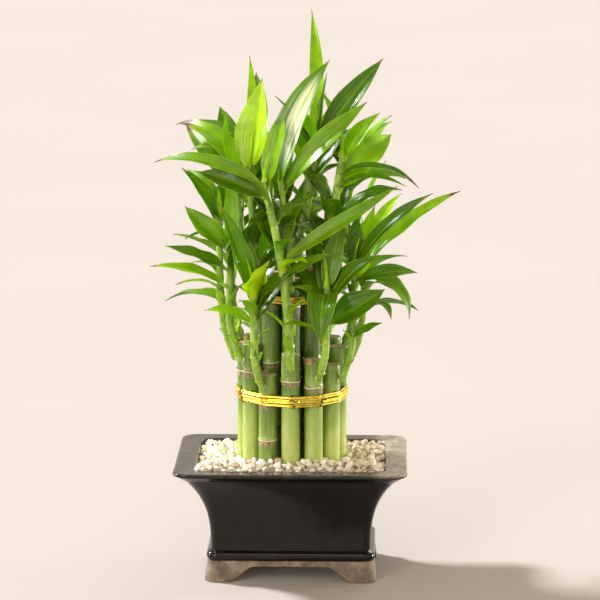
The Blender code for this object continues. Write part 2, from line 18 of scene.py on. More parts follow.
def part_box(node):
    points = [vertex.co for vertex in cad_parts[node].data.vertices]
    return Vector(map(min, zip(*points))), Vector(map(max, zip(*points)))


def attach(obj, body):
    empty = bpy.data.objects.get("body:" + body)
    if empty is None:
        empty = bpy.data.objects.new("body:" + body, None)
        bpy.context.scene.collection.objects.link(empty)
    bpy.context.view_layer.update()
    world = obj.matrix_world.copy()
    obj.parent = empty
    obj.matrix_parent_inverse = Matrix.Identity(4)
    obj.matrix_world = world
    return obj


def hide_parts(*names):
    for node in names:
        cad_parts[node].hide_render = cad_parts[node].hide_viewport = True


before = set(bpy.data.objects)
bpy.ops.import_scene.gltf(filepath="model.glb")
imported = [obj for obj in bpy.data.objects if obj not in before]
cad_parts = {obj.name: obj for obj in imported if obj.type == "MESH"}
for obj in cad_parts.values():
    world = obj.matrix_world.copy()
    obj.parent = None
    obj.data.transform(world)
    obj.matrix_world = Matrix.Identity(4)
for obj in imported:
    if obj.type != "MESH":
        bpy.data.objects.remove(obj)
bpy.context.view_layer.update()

MM = 0.001
UP = Vector((0, 0, 1))
ACROSS = Vector((1, 0, 0))

DISH_LOW, DISH_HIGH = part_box("dish")
CENTRE = Vector(((DISH_LOW.x + DISH_HIGH.x) / 2, (DISH_LOW.y + DISH_HIGH.y) / 2, 0))
RIM_HALF = (DISH_HIGH - DISH_LOW) / 2
RIM_TOP = DISH_HIGH.z

# Camera: where it looks, from the dish's middle, and how far away and how high it stands.
CAMERA_TARGET = CENTRE + Vector((4.6, 0, 157.5)) * MM
CAMERA_DISTANCE = 1.8
CAMERA_AZIMUTH = radians(1.6)
CAMERA_ELEVATION = radians(10.84)
CAMERA_LENS_MM = 189.47
CAMERA_SENSOR_MM = 36
CAMERA_REACH = 60

# Light: the height the suns aim at, each sun's name, place, strength, angle in degrees and colour, and the
# sky's colour and strength: from 0.95 at a height of 0.15 down to 0.56 at 0.7.
AIM_HEIGHT = 0.16
SUNS = (
    ("key", (-0.66, 0.36, 0.72), 6, 9, (0.95, 0.97, 1)),
    ("fill", (-0.55, -0.95, 0.75), 0.75, 25, (1, 0.94, 0.84)),
    ("front", (0.1, -1.2, 1.1), 0.22, 18, (1, 0.95, 0.88)),
    ("back", (0.45, 1.1, 0.95), 0.5, 22, (1, 0.97, 0.93)),
    ("rim_right", (1, 0.35, 0.2), 3.7, 9, (1, 0.99, 0.96)),
    ("rim_left", (-1, 0.1, 0.2), 0.8, 9, (1, 0.99, 0.96)),
    ("gloss", (-0.57, -0.82, 0.25), 0.5, 12, (1, 1, 0.98)),
)
SKY_COLOUR = (1, 0.88, 0.72)
SKY_SPAN = (0.15, 0.7, 0.95, 0.56)
FLOOR_HALF = 14

# Dish profile, as heights and as insets from the rim's edge.
RIM_CORNER_RADIUS = 9 * MM
MOUTH_INSET = 12 * MM
CAVITY_FLOOR, CAVITY_FOOT_INSET, CAVITY_POWER, CAVITY_ROWS = 20 * MM, 26.5 * MM, 0.82, 12
FLARE_FOOT, FLARE_TOP = 18 * MM, 62 * MM
FLARE_INSET, FLARE_TOP_INSET = 20.4 * MM, 5.5 * MM
FLARE_POWER, FLARE_ROWS = 2.75, 24
BEAD_MIDDLE, BEAD_HALF = 14.8 * MM, 2.4 * MM
BEAD_INSET, BEAD_DEPTH, BEAD_ROWS = 18 * MM, 1.3 * MM, 8
# The rim, from its outer edge over to the mouth: depth and inset in millimetres, and how thin the glaze is.
RIM_PROFILE_MM = (
    (5, 4.6, 0), (3.6, 3, 0), (2.6, 1.3, 0), (2.1, 0.5, 0), (1.7, 0.12, 0.05), (1.2, 0, 0.08),
    (0.7, 0, 0.2), (0.35, 0.15, 0.6), (0.12, 0.4, 0.8), (0, 0.9, 0.6), (0, 2.2, 0.5), (0.06, 4.5, 0.45),
    (0.1, 7, 0.45), (0.12, 9.4, 0.5), (0.16, 10.6, 0.6), (0.35, 11.3, 0.9), (0.75, 11.75, 1), (1.3, 12, 0.6),
    (2.2, 12.4, 0.2),
)
SKIRT_TOP, SKIRT_TOP_INSET, SKIRT_FOOT_INSET, SKIRT_ROWS = 12.2 * MM, 18.5 * MM, 16.9 * MM, 6
SKIRT_ROUNDING = 0.9 * MM
UNDERSIDE_ROWS = 26
ARCH_HEIGHT = 9 * MM
ARCH_FRONT = (37 * MM, 21 * MM)
ARCH_SIDE = (23 * MM, 10 * MM)
SIDE_STEPS = (30, 42)
CORNER_STEPS = 10
# The thin glaze's brown keeps only a share on the rim's left; it is painted stronger on the right, a painted
# reflection, and weaker behind, painted shade.
PAINTED_SHEEN_RIGHT = (44 * MM, 58 * MM)
THIN_LEFT_SHARE, PAINTED_SHEEN_MORE = 0.2, 2.2
PAINTED_SHADE_BEHIND = (54 * MM, 60 * MM)

# Gravel surface and chips.
GRAVEL_AT_WALL = 63.2 * MM
GRAVEL_AT_CANES = 67.4 * MM
GRAVEL_SLOPE = 8 * MM
GRAVEL_HEAP = 2.6 * MM
BED_GAP, BED_DEPTH, BED_FOOT_SHARE = 1.2 * MM, 14 * MM, 0.85
BED_BELOW_CHIPS, BED_LUMPS, BED_LUMP_SIZE = 3.6 * MM, 0.9 * MM, 3 * MM
BED_SHARES = (1, 0.93, 0.86, 0.78, 0.7, 0.6, 0.5, 0.35, 0.2, 0.05)
CHIP_SHAPES = 14
CHIP_SPACING = 3.35 * MM
CHIP_SIZES_MM = (3.7, 6.3)
CHIP_MARGIN = 1.6 * MM
CLEAR_HEART = 18 * MM
# Layers of chips: depth in millimetres, share of the spacing, tries, and how far back they go.
CHIP_LAYERS = ((3, 1.1, 4000, 1), (0.8, 1, 8000, 1), (-0.8, 2.2, 700, 1), (-0.6, 1.25, 4000, -0.72))
# Chips on the rim: place from the dish's middle and size.
RIM_CHIPS_MM = ((-25, -40.6, 4.8), (-22, -44, 3.6), (-13.5, -41, 4.4), (-33, -40.2, 4.3), (17, -40.4, 4.2))
# Painted shade: chips to the right are drawn from darker, tan stones.
PAINTED_SHADE_RIGHT, PAINTED_SHADE_BETWEEN = 0.8, (16 * MM, 40 * MM)

# Canes.
RINGS = {"outer": 12, "middle": 7, "inner": 3}
NODE_BULGE = 0.3 * MM
NODE_BELOW_TOP = 16 * MM
NODE_PITCH = {"outer": 33 * MM, "middle": 36 * MM, "inner": 38 * MM}
NODE_ROWS_MM = (-2.4, -1.5, -0.9, -0.5, -0.2, 0.1, 0.45, 0.9, 1.5, 2.4)
LOW_NODE_CANES = (3, 9, 10)
LOW_NODE_PITCH = {3: 21.5 * MM}
MOST_NODES = 3
INTERNODE_FADE = 13 * MM
PALE_FOOT, PALE_SPAN = 62 * MM, 118 * MM
# Painted shade: canes grow darker from the first of these heights up, under the leaves.
CROWN_SHADE_BETWEEN = (106 * MM, 124 * MM)
CANE_TONES = {"outer_03": 0.05, "outer_04": 0.7, "outer_05": 0.55, "outer_06": 0.8, "outer_02": 0.6}
CANE_SIDES, CANE_ROWS = 32, 34
# The cut end: shares of the radius, and dips in millimetres.
CUT_ROWS = ((0.86, 0), (0.68, 0.12), (0.45, 0.22), (0.2, 0.3), (0.04, 0.32))
HUSK_FLARE = 0.7 * MM
HUSK_STEPS = (12, 5)

# Wire.
WIRE_SIDES = 8
WRAP_STEPS = 18

# Stems and leaves. The numbers of a shoot and a leaf are in millimetres and degrees, as in the CAD source,
# and a leaf's tone, its dry tip and its pale patch are in hundredths. A leaf's tone is partly its own green
# and partly painted shade and light, and the pale patch is a painted highlight.
Shoot = namedtuple("Shoot", "bud reach top lean leaves")
Leaf = namedtuple(
    "Leaf", "height heading rise droop length width tone roll sweep dry pale", defaults=(40, 0, 0, 3, 0)
)
CANE_GAP = 0.3 * MM
STEM_COLLAR = 1.5 * MM
STEM_ROOT_RADIUS, STEM_TIP_RADIUS = 2.45 * MM, 1.7 * MM
STOUT_SHOOTS = ("outer_04", "middle_03")
STEM_CURVE = 1.5
HUG_UNTIL = 0.5
STEM_LEAN_POWER = 3
STEM_SIDES, STEM_ROWS = 16, 26
AXIS_STEP = 0.02
SHEATH_SLANT = 3.6 * MM
SHEATH_ROWS, SHEATH_LIP_ROWS = 7, 3
LEAF_FOLD = radians(24)
LEAF_BASE_HALF = 1.4 * MM
BELLY_AT = 0.43
WIDE_LEAF, WIDE_TIP_STRETCH = 14, 1.035
CLASP_TURN = radians(112)
FAN_LEAVES = 6
SPINE_STEPS = 20
SWING_STEP = 4
SWING_HEADINGS, SWING_RISES = 12, 7
MATCH_WITHIN = 0.15 * MM


def leaves(*rows):
    """Leaves from rows of their numbers."""
    return [Leaf(*row) for row in rows]


def fan(top, outward, length, width, turn=137.5, low=30, high=80):
    """Leaves that are the same all round: the low ones spread, the top one stands up."""
    made = []
    for k in range(FAN_LEAVES):
        share = k / (FAN_LEAVES - 1)
        leaf = Leaf(
            height=top - 3 - 8.5 * (FAN_LEAVES - 1 - k),
            heading=outward + turn * k,
            rise=low + (high - low) * share,
            droop=62 - 42 * share,
            length=length * (0.86 + 0.2 * sin(2.4 * k + 0.1 * outward)),
            width=width * (0.9 + 0.15 * cos(1.7 * k + 0.1 * top)),
            roll=14 * sin(3.1 * k + outward),
            tone=42 + 22 * sin(1.9 * k + outward),
            dry=3 + 3 * sin(5.3 * k + outward),
        )
        made.append(leaf)
    return made


SHOOTS = {
    "outer_01": Shoot(124, 8, 205, (0, -2), leaves(
        (203, -172, 68, 25, 38, 9, 38, -45), (198, 152, 88, 81, 49, 11, 42, -20, -27),
        (165, -159, 31, 50, 28, 5, 72, 0, 0, 14), (173, 140, 38, 60, 24, 5, 45),
        (201, 70, 82, 15, 50, 9, 45),
    )),
    "outer_02": Shoot(126, 8, 192, (2, 0), leaves(
        (188, -172, 49, 14, 38, 13, 45, -40, -48), (178, -155, 32, 20, 40, 10, 25, -30, -35),
        (168, -158, 38, 43, 48, 9, 70, -25, -29, 7), (186, -118, 72, 110, 30, 9, 5),
        (190, 85, 84, 10, 48, 8, 60),
    )),
    "outer_03": Shoot(113, 8, 168, (0, 0), leaves(
        (162, -166, 79, 15, 61, 12, 34, -65), (163, -62, 72, 6, 29, 17, 100, 8, 30),
        (150, 172, 42, 55, 30, 8, 60, -30), (158, 60, 70, 30, 52, 11, 15), (154, -110, 62, 60, 26, 8, 50),
        (150, 30, 58, 30, 36, 11, 25, 20),
    )),
    "outer_04": Shoot(124, 6, 232, (-15, 2), leaves(
        (186, -18, 36, 6, 79, 9.5, 40, 50, 40), (228, 172, 35, 55, 75, 9, 38, -35, -34, 8),
        (222, -178, 30, 26, 44, 13, 14, -50, -30), (191, -62, 66, 70, 21, 10, 35),
        (176, -15, 40, 20, 32, 10, 40, 30, 10), (207, 15, 50, 30, 26, 9, 15, 20),
        (180, -40, 73, 93, 21, 11, 88),
    )),
    "outer_05": Shoot(118, 8, 172, (0, 0), leaves(
        (166, -97, 34, 140, 44, 16.5, 20, 0, 5), (150, -21, 34, 6, 38, 18, 22, 45, 50),
        (168, 24, 83, 15, 46, 11, 35, 60), (158, -140, 60, 50, 30, 9, 42, -30),
        (162, 100, 66, 40, 48, 11, 30), (156, 165, 66, 30, 40, 13, 30, -20), (142, -155, 46, 50, 30, 10, 50),
    )),
    "outer_06": Shoot(114, 8, 182, (0, 0), leaves(
        (176, -30, 66, 39, 67, 10.5, 10, 42, 38, 5), (172, -11, 27, 43, 39, 10, 30, 40, 47),
        (150, -37, 49, 78, 52, 7, 30, 0, -49, 7), (140, -18, 46, 10, 20, 7, 40, 35),
        (178, 85, 76, 20, 34, 10, 25),
    )),
    "outer_07": Shoot(121, 8, 188, (0, 0), leaves(
        (176, -1, 57, 43, 74, 9.5, 70, 30, 36, 10), (172, -23, 7, 99, 41, 10, 40, 35, 33, 5),
        (184, -4, 84, 12, 29, 8, 85, 70), (180, 60, 60, 45, 60, 8.5, 80), (166, 130, 50, 50, 40, 9),
    )),
    "middle_01": Shoot(169, 5, 236, (-3, 0), leaves(
        (232, 67, 72, -4, 53, 21, 86, -4, -10), (228, 80, 68, 11, 76, 7.5, 75, 0, 23),
        (226, -171, 46, -62, 46, 10, 62, -30, -21), (222, 154, 68, 88, 77, 12, 52, -30, -30, 22),
        (214, 145, 42, 26, 84, 10, 40, -25, -39, 16),
    )),
    "middle_02": Shoot(167, 5, 230, (-6, 0), leaves(
        (226, -27, 90, 42, 76, 17.5, 34, 60, 48, 0, 100), (222, -21, 61, 31, 73, 12.5, 48, 48, 62),
        (187, 178, 52, -10, 37, 16, 30, -30, -70), (214, 112, 65, 40, 62, 12),
        (206, -125, 60, 45, 40, 11, 30, -20), (200, -60, 74, 20, 26, 9, 30),
    )),
    "middle_03": Shoot(170, 6, 243, (7, 0), leaves(
        (222, 1, 68, 47, 50, 17, 66, 45, 53), (233, -28, 30, 72, 52, 8, 25, 10, 10, 16),
        (226, -43, 32, 55, 46, 8, 40, 10, 26), (240, 0, 62, 20, 35, 12, 60, 42),
        (205, -95, 62, 60, 34, 11, 30), (192, -150, 50, 40, 36, 10, 25, -20), (187, -80, 56, 70, 36, 12, 25),
    )),
    "middle_04": Shoot(169, 9, 236, (2, 0), leaves(
        (214, -20, 68, 92, 40, 15, 45, 20, 10), (206, 18, 50, 60, 38, 10, 40, 22),
        (226, -34, 70, 35, 50, 12, 55, 35), (222, 62, 55, 50, 64, 12, 50), (233, 148, 76, 20, 48, 11),
    )),
    "inner_01": Shoot(197, 8, 252, (6, 1), leaves(
        (248, 14, 57, 15, 63, 13.5, 18, 46, 20), (246, 88, 70, 32, 92, 8, 66, 0, 11),
        (250, -60, 81, 4, 41, 10, 8, 50), (236, -118, 62, 45, 40, 12, 35, -15),
    )),
    "inner_03": Shoot(195, 8, 248, (0, 2), leaves(
        (243, 100, 66, 15, 36, 11, 45), (238, 165, 31, 50, 42, 13, 50, -20),
        (234, -164, 52, 50, 46, 12, 42, -25),
    )),
    "inner_02": Shoot(199, 8, 247, (0, 3), fan(247, 58, 46, 13, low=42)),
    "middle_05": Shoot(170, 8, 234, (0, 2), fan(234, 64, 52, 13)),
    "middle_06": Shoot(168, 8, 229, (0, 2), fan(229, 118, 50, 13, turn=-137.5)),
    "middle_07": Shoot(170, 8, 236, (-3, 0), fan(236, 166, 52, 13)),
    "outer_08": Shoot(124, 8, 190, (0, 0), fan(190, 30, 52, 12)),
    "outer_09": Shoot(117, 9, 178, (0, 0), fan(178, 66, 46, 12)),
    "outer_10": Shoot(123, 8, 186, (2, 0), fan(186, 95, 46, 13)),
    "outer_11": Shoot(119, 9, 176, (-2, 0), fan(176, 118, 46, 12)),
    "outer_12": Shoot(125, 8, 194, (0, 0), fan(194, 148, 50, 12)),
}

# Leaves that fill the heart of the plant, where the CAD keeps fewer. Most have very low tones, painted shade
# for the dark heart of the plant.
EXTRA_LEAVES = {
    "outer_04": leaves(
        (226, 48, 72, 6, 50, 12, 52, 0, 16), (214, -150, 74, 30, 24, 7, 30),
        (190, 60, 76, 30, 36, 12, 4, 10),
    ),
    "middle_02": leaves(
        (196, 172, 62, 20, 42, 13, 8, -30), (186, 150, 55, 30, 36, 12, 12, -30),
        (181, 176, 74, 46, 34, 17, 2, -20, -20), (214, 20, 80, 20, 36, 11, 8, 20),
    ),
    "middle_03": leaves(
        (214, -170, 66, 30, 36, 10, 14, -30), (200, -15, 62, 35, 36, 9, 20, 30),
        (206, 175, 74, 30, 34, 12, 4, -20), (188, 170, 74, 40, 32, 14, 3, -20),
        (196, 60, 74, 40, 36, 12, 5, 20),
    ),
    "outer_05": leaves(
        (160, -10, 66, 40, 44, 13, 14, 40), (152, 150, 60, 40, 34, 10, 10, -25),
        (164, 75, 78, 20, 42, 14, 3, 10),
    ),
    "outer_06": leaves((164, -150, 64, 50, 32, 10, 10, -25), (168, 30, 70, 30, 40, 8, 75, 30)),
    "outer_03": leaves((156, -20, 66, 40, 38, 12, 8, 35), (160, 110, 74, 20, 44, 10, 20)),
    "inner_01": leaves((240, -150, 72, 30, 46, 10, 18, -20), (228, 20, 66, 30, 38, 10, 12, 30)),
    "inner_03": leaves((246, 96, 74, 30, 46, 11, 16, -10), (226, 130, 62, 50, 30, 9, 16)),
    "middle_01": leaves(
        (206, -20, 60, 50, 30, 9, 14, 20), (212, 60, 66, 30, 34, 9, 18), (190, -60, 76, 40, 34, 13, 5, 10),
    ),
    "middle_04": leaves((228, 160, 70, 40, 40, 10, 22, -30), (196, -150, 62, 50, 34, 11, 8, -30)),
    "outer_02": leaves((182, 20, 66, 40, 34, 9, 18, 30), (176, -30, 78, 30, 36, 12, 5, 10)),
    "outer_07": leaves((172, -170, 62, 40, 34, 9, 12, -30), (160, -60, 60, 70, 26, 7, 45)),
}


# ---- small helpers


def smooth_step(value, low=0, high=1):
    """0 below low, 1 above high, and a soft change between them."""
    share = min(max((value - low) / (high - low), 0), 1)
    return share * share * (3 - 2 * share)


def bell(value, width, power=2):
    """1 at nought, and falling away over the width."""
    return exp(-((value / width) ** power))


def heading_vector(heading):
    """The level direction with this heading."""
    angle = radians(heading)
    return Vector((cos(angle), sin(angle), 0))


def ripple(point, size, seed=0):
    """Smooth noise from -1 to 1 with lumps of about this size."""
    return noise.noise(point / size + Vector((seed, 0.37 * seed, 0.71 * seed)))


def ring_about(centre, normal, start, radius, sides):
    """Points round a centre, across normal, beginning towards start."""
    side = normal.cross(start).normalized()
    first = side.cross(normal).normalized()
    angles = [2 * pi * k / sides for k in range(sides)]
    return [centre + radius * (first * cos(angle) + side * sin(angle)) for angle in angles]


def cane_body(key):
    """A cane's low and high corner, middle and greatest radius."""
    low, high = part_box(f"cane_{key}")
    return low, high, (low + high) / 2, (high.x - low.x) / 2


def add_object(name, data):
    """A new object in the scene."""
    made = bpy.data.objects.new(name, data)
    bpy.context.scene.collection.objects.link(made)
    return made


class Shell:
    """The points, faces, slots and per-point marks of one piece, gathered surface by surface."""

    def __init__(self, *marks):
        self.points = []
        self.faces = []
        self.slots = []
        self.marks = {mark: [] for mark in marks}

    def add(self, points, faces, slot=0, **marks):
        """Adds a surface. A mark is one number, or a list with a number for each point."""
        start = len(self.points)
        self.points.extend(points)
        self.faces.extend(tuple(start + corner for corner in face) for face in faces)
        self.slots.extend([slot] * len(faces))
        for mark, store in self.marks.items():
            value = marks.get(mark, 0)
            store.extend([value] * len(points) if isinstance(value, (int, float)) else value)

    def loft(self, rows, slot=0, joined=False, **marks):
        """Adds a tube through rows of equally many points: joined end to end, or closed at both ends."""
        count = len(rows[0])
        faces = []
        for band in range(len(rows) if joined else len(rows) - 1):
            low, high = band * count, (band + 1) % len(rows) * count
            for k in range(count):
                following = (k + 1) % count
                faces.append((low + k, low + following, high + following, high + k))
        if not joined:
            faces.append(tuple(range(count - 1, -1, -1)))
            faces.append(tuple((len(rows) - 1) * count + k for k in range(count)))
        self.add([point for row in rows for point in row], faces, slot, **marks)

    def piece(self, name, materials, node, sharp=50):
        """Makes the object, which stands for its CAD node and rides on the one body."""
        mesh = bpy.data.meshes.new(name)
        mesh.from_pydata([tuple(point) for point in self.points], [], self.faces)
        for mark, values in self.marks.items():
            mesh.attributes.new(mark, "FLOAT", "POINT").data.foreach_set("value", values)
        for look in materials:
            mesh.materials.append(look)
        mesh.polygons.foreach_set("material_index", self.slots)
        shape = bmesh.new()
        shape.from_mesh(mesh)
        bmesh.ops.recalc_face_normals(shape, faces=shape.faces)
        shape.to_mesh(mesh)
        shape.free()
        mesh.shade_smooth()
        mesh.set_sharp_from_angle(angle=radians(sharp))
        made = add_object(name, mesh)
        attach(made, "root")
        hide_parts(node)


# ---- materials


class Look:
    """The nodes of a new material or world, with short calls for them."""

    def __init__(self, name, store=bpy.data.materials):
        self.owner = store.new(name)
        self.owner.use_nodes = True
        self.tree = self.owner.node_tree

    def put(self, socket, value):
        """Links an output to the socket, or sets the socket's own value."""
        if isinstance(value, bpy.types.NodeSocket):
            self.tree.links.new(value, socket)
        else:
            socket.default_value = (*value, 1) if socket.type == "RGBA" else value

    def node(self, kind, inputs=None, **settings):
        """A node with its settings, and its inputs linked or set by name or number."""
        made = self.tree.nodes.new("ShaderNode" + kind)
        for key, value in settings.items():
            setattr(made, key, value)
        for key, value in (inputs or {}).items():
            self.put(made.inputs[key], value)
        return made

    def mark(self, name):
        """The number that a piece's mesh holds under this name."""
        return self.node("Attribute", attribute_name=name).outputs["Fac"]

    def place(self, scale=(1, 1, 1)):
        """The point on the object, stretched."""
        where = self.node("TexCoord").outputs["Object"]
        return self.node("Mapping", {"Vector": where, "Scale": scale}).outputs["Vector"]

    def noise(self, size, detail=3, rough=0.5, where=None):
        """Noise from 0 to 1 with lumps of this size, in metres or the units of where."""
        inputs = {"Vector": where or self.place(), "Scale": 1 / size, "Detail": detail, "Roughness": rough}
        return self.node("TexNoise", inputs).outputs["Fac"]

    def math(self, operation, first, second=0):
        """One calculation with two numbers."""
        return self.node("Math", {0: first, 1: second}, operation=operation).outputs[0]

    def span(self, value, low, high, to_low=0, to_high=1):
        """A number moved from one range to another and kept inside it."""
        inputs = {"Value": value, "From Min": low, "From Max": high, "To Min": to_low, "To Max": to_high}
        return self.node("MapRange", inputs, clamp=True).outputs["Result"]

    def ramp(self, value, *stops):
        """A colour ramp through stops: (place, red, green, blue)."""
        made = self.node("ValToRGB", {"Fac": value})
        elements = made.color_ramp.elements
        while len(elements) < len(stops):
            elements.new(0.5)
        for element, (place, *colour) in zip(elements, stops):
            element.position = place
            element.color = (*colour, 1)
        return made.outputs["Color"]

    def mix(self, share, first, second, blend="MIX"):
        """A mix of two colours."""
        made = self.node("Mix", {"Factor": share}, data_type="RGBA", blend_type=blend)
        for key, colour in (("A", first), ("B", second)):
            self.put(next(s for s in made.inputs if s.name == key and s.type == "RGBA"), colour)
        return next(s for s in made.outputs if s.type == "RGBA")

    def layered(self, colour, *layers):
        """A colour under tints as strong as a number's span says: (number, span, tint)."""
        for value, span, tint in layers:
            colour = self.mix(self.span(value, *span), colour, tint)
        return colour

    def finish(self, colour, roughness, relief=None, depth=0, strength=1, **inputs):
        """Sets the shader's colour, roughness, bumps and other inputs, and gives the material."""
        if relief is not None:
            bumps = self.node("Bump", {"Height": relief, "Distance": depth, "Strength": strength})
            inputs["Normal"] = bumps.outputs["Normal"]
        inputs.update(Base_Color=colour, Roughness=roughness)
        for key, value in inputs.items():
            self.put(self.tree.nodes["Principled BSDF"].inputs[key.replace("_", " ")], value)
        return self.owner


def leaf_look():
    """Glossy leaf: fine parallel veins, pale base, dry brown tip, light through it; painted shade and glint.
    """
    look = Look("leaf")
    along, across, tone, dry, pale = (look.mark(name) for name in ("along", "across", "tone", "dry", "pale"))
    from_midrib = look.math("ABSOLUTE", across)
    green = look.ramp(
        tone,
        (0, 0.024, 0.1, 0.001),
        (0.3, 0.094, 0.285, 0.001),
        (0.6, 0.335, 0.625, 0.003),
        (1, 0.71, 0.95, 0.01),
    )
    grain = look.node("CombineXYZ", {"X": look.math("MULTIPLY", across, 5), "Y": along, "Z": tone}).outputs[0]
    streaks = look.noise(0.55, 3, 0.6, grain)
    colour = look.layered(
        green,
        (streaks, (0.36, 0.7, 0, 0.42), (0.5, 0.76, 0.01)),
        # Painted shade: darker green patches in a broad noise.
        (look.noise(8 * MM, 2), (0.4, 0.7, 0, 0.28), (0.03, 0.14, 0.001)),
        (from_midrib, (0, 0.08, 0.28, 0), (0.52, 0.72, 0.04)),
        (from_midrib, (0.9, 1, 0, 0.4), (0.62, 0.8, 0.06)),
        (along, (0.02, 0.15, 0.7, 0), (0.52, 0.7, 0.1)),
    )
    frayed = look.math("ADD", along, look.span(streaks, 0.3, 0.7, -0.03, 0.03))
    brown_from = look.math("SUBTRACT", 1, dry)
    near = look.span(look.math("SUBTRACT", frayed, brown_from), -0.07, 0)
    colour = look.mix(look.math("MULTIPLY", near, 0.6), colour, (0.5, 0.5, 0.07))
    # Painted highlight: the pale mark lays a near-white glint over the streaked blade.
    painted_glint = look.math("MULTIPLY", pale, look.span(streaks, 0.38, 0.52, 0.12, 1))
    colour = look.mix(painted_glint, colour, (0.96, 0.99, 0.93))
    colour = look.mix(look.math("GREATER_THAN", frayed, brown_from), colour, (0.2, 0.115, 0.045))
    veins = look.math("SINE", look.math("MULTIPLY", across, 48))
    puckers = look.noise(0.9, 2, 0.5, grain)
    relief = look.math("ADD", look.math("MULTIPLY", veins, 0.16), look.math("MULTIPLY", streaks, 0.7))
    relief = look.math("ADD", relief, look.math("MULTIPLY", puckers, 2.6))
    gloss = look.span(look.noise(4 * MM, 2), 0.3, 0.7, 0.17, 0.3)
    gloss = look.math("ADD", gloss, look.span(along, 0.6, 0.95, 0, 0.25))
    look.finish(colour, gloss, relief, 0.15 * MM, 0.6, IOR=1.45, Specular_IOR_Level=0.65)
    glow = look.mix(1, colour, (1, 1, 0.25), "MULTIPLY")
    through = look.node("BsdfTranslucent", {"Color": glow}).outputs[0]
    surface = look.tree.nodes["Principled BSDF"].outputs[0]
    both = look.node("MixShader", {"Fac": 0.46, 1: surface, 2: through}).outputs[0]
    look.put(look.tree.nodes["Material Output"].inputs["Surface"], both)
    return look.owner


def stem_look():
    """Stem: light green with paler streaks and sheath edges."""
    look = Look("stem")
    edge, tone = look.mark("dry"), look.mark("tone")
    streaks = look.noise(0.7 * MM, 3, 0.6, look.place((1, 1, 0.05)))
    green = look.ramp(tone, (0, 0.075, 0.21, 0.004), (0.5, 0.19, 0.37, 0.016), (1, 0.42, 0.6, 0.06))
    colour = look.layered(
        green,
        (streaks, (0.38, 0.7, 0, 0.6), (0.6, 0.76, 0.2)),
        (look.noise(9 * MM), (0.4, 0.7, 0, 0.5), (0.11, 0.26, 0.008)),
        (edge, (0.3, 1), (0.6, 0.62, 0.26)),
    )
    gloss = look.span(streaks, 0.3, 0.7, 0.26, 0.42)
    return look.finish(colour, gloss, streaks, 0.14 * MM, 0.7, IOR=1.45)


def cane_look():
    """Cane: green, yellower towards the gravel, streaked, with scarred rings and a tan cut end."""
    look = Look("cane")
    scarred, ridge, cut, low = (look.mark(name) for name in ("scar", "node", "cut", "low"))
    streaks = look.noise(0.8 * MM, 4, 0.6, look.place((1, 1, 0.05)))
    clouds = look.noise(11 * MM, 3, 0.55, look.place((1, 1, 0.5)))
    dark = look.span(look.mark("tone"), 0, 1, 0.26, -0.1)
    height = look.math("ADD", look.math("ADD", low, dark), look.span(clouds, 0.3, 0.7, -0.16, 0.16))
    green = look.ramp(
        height,
        (0, 0.55, 0.62, 0.17),
        (0.25, 0.35, 0.46, 0.085),
        (0.55, 0.165, 0.265, 0.027),
        (1, 0.062, 0.128, 0.008),
    )
    colour = look.layered(
        green,
        (streaks, (0.42, 0.72, 0, 0.3), (0.44, 0.54, 0.17)),
        (streaks, (0.28, 0.44, 0.32, 0), (0.045, 0.105, 0.01)),
    )
    flecks = look.noise(1.5 * MM, 3, 0.6)
    bark = look.ramp(flecks, (0.36, 0.13, 0.065, 0.035), (0.5, 0.34, 0.2, 0.12), (0.66, 0.56, 0.42, 0.27))
    worn = look.math("MULTIPLY", scarred, look.span(look.noise(2.8 * MM, 3, 0.6), 0.36, 0.52))
    colour = look.mix(worn, colour, bark)
    colour = look.mix(look.span(ridge, 0.3, 0.85, 0, 0.85), colour, (0.66, 0.64, 0.4))
    fibres = look.noise(0.55 * MM, 2, 0.6)
    wood = look.ramp(fibres, (0.3, 0.2, 0.12, 0.055), (0.5, 0.46, 0.33, 0.17), (0.72, 0.72, 0.6, 0.38))
    colour = look.mix(cut, colour, wood)
    gloss = look.span(look.noise(5 * MM), 0.3, 0.7, 0.22, 0.34)
    gloss = look.span(look.math("MAXIMUM", worn, cut), 0, 1, gloss, 0.75)
    relief = look.math("ADD", streaks, look.math("MULTIPLY", flecks, worn))
    return look.finish(colour, gloss, relief, 0.12 * MM, 0.6, IOR=1.45, Specular_IOR_Level=0.7)


def husk_look():
    """Dry papery sheath remains: brown with pale fibres."""
    look = Look("dry_husk")
    fibres = look.noise(0.6 * MM, 3, 0.6, look.place((1, 1, 0.12)))
    colour = look.ramp(fibres, (0.3, 0.1, 0.055, 0.025), (0.5, 0.27, 0.17, 0.08), (0.72, 0.55, 0.42, 0.24))
    matt = look.span(fibres, 0.3, 0.7, 0.6, 0.85)
    return look.finish(colour, matt, fibres, 0.15 * MM, 0.8, IOR=1.45)


def glaze_look():
    """Black glaze: glossy, brown where it is thin on the rim, with painted reflection and shade in that
    brown.
    """
    look = Look("black_glaze")
    mottle = look.noise(7 * MM, 4, 0.6)
    speck = look.noise(1.3 * MM, 3, 0.6)
    body = look.ramp(mottle, (0.3, 0.003, 0.0024, 0.0018), (0.7, 0.009, 0.007, 0.005))
    worn = look.ramp(speck, (0.35, 0.23, 0.185, 0.14), (0.7, 0.56, 0.47, 0.365))
    # The thin mark carries the thin glaze's brown together with painted reflection and painted shade.
    thin = look.math("MULTIPLY", look.mark("thin"), look.span(mottle, 0.3, 0.65, 0.3, 1))
    colour = look.mix(thin, body, worn)
    gloss = look.span(look.noise(10 * MM, 3), 0.3, 0.7, 0.1, 0.22)
    relief = look.math("ADD", mottle, look.math("MULTIPLY", speck, 0.12))
    return look.finish(colour, gloss, relief, 0.14 * MM, 0.5, IOR=1.5, Specular_IOR_Level=0.32)


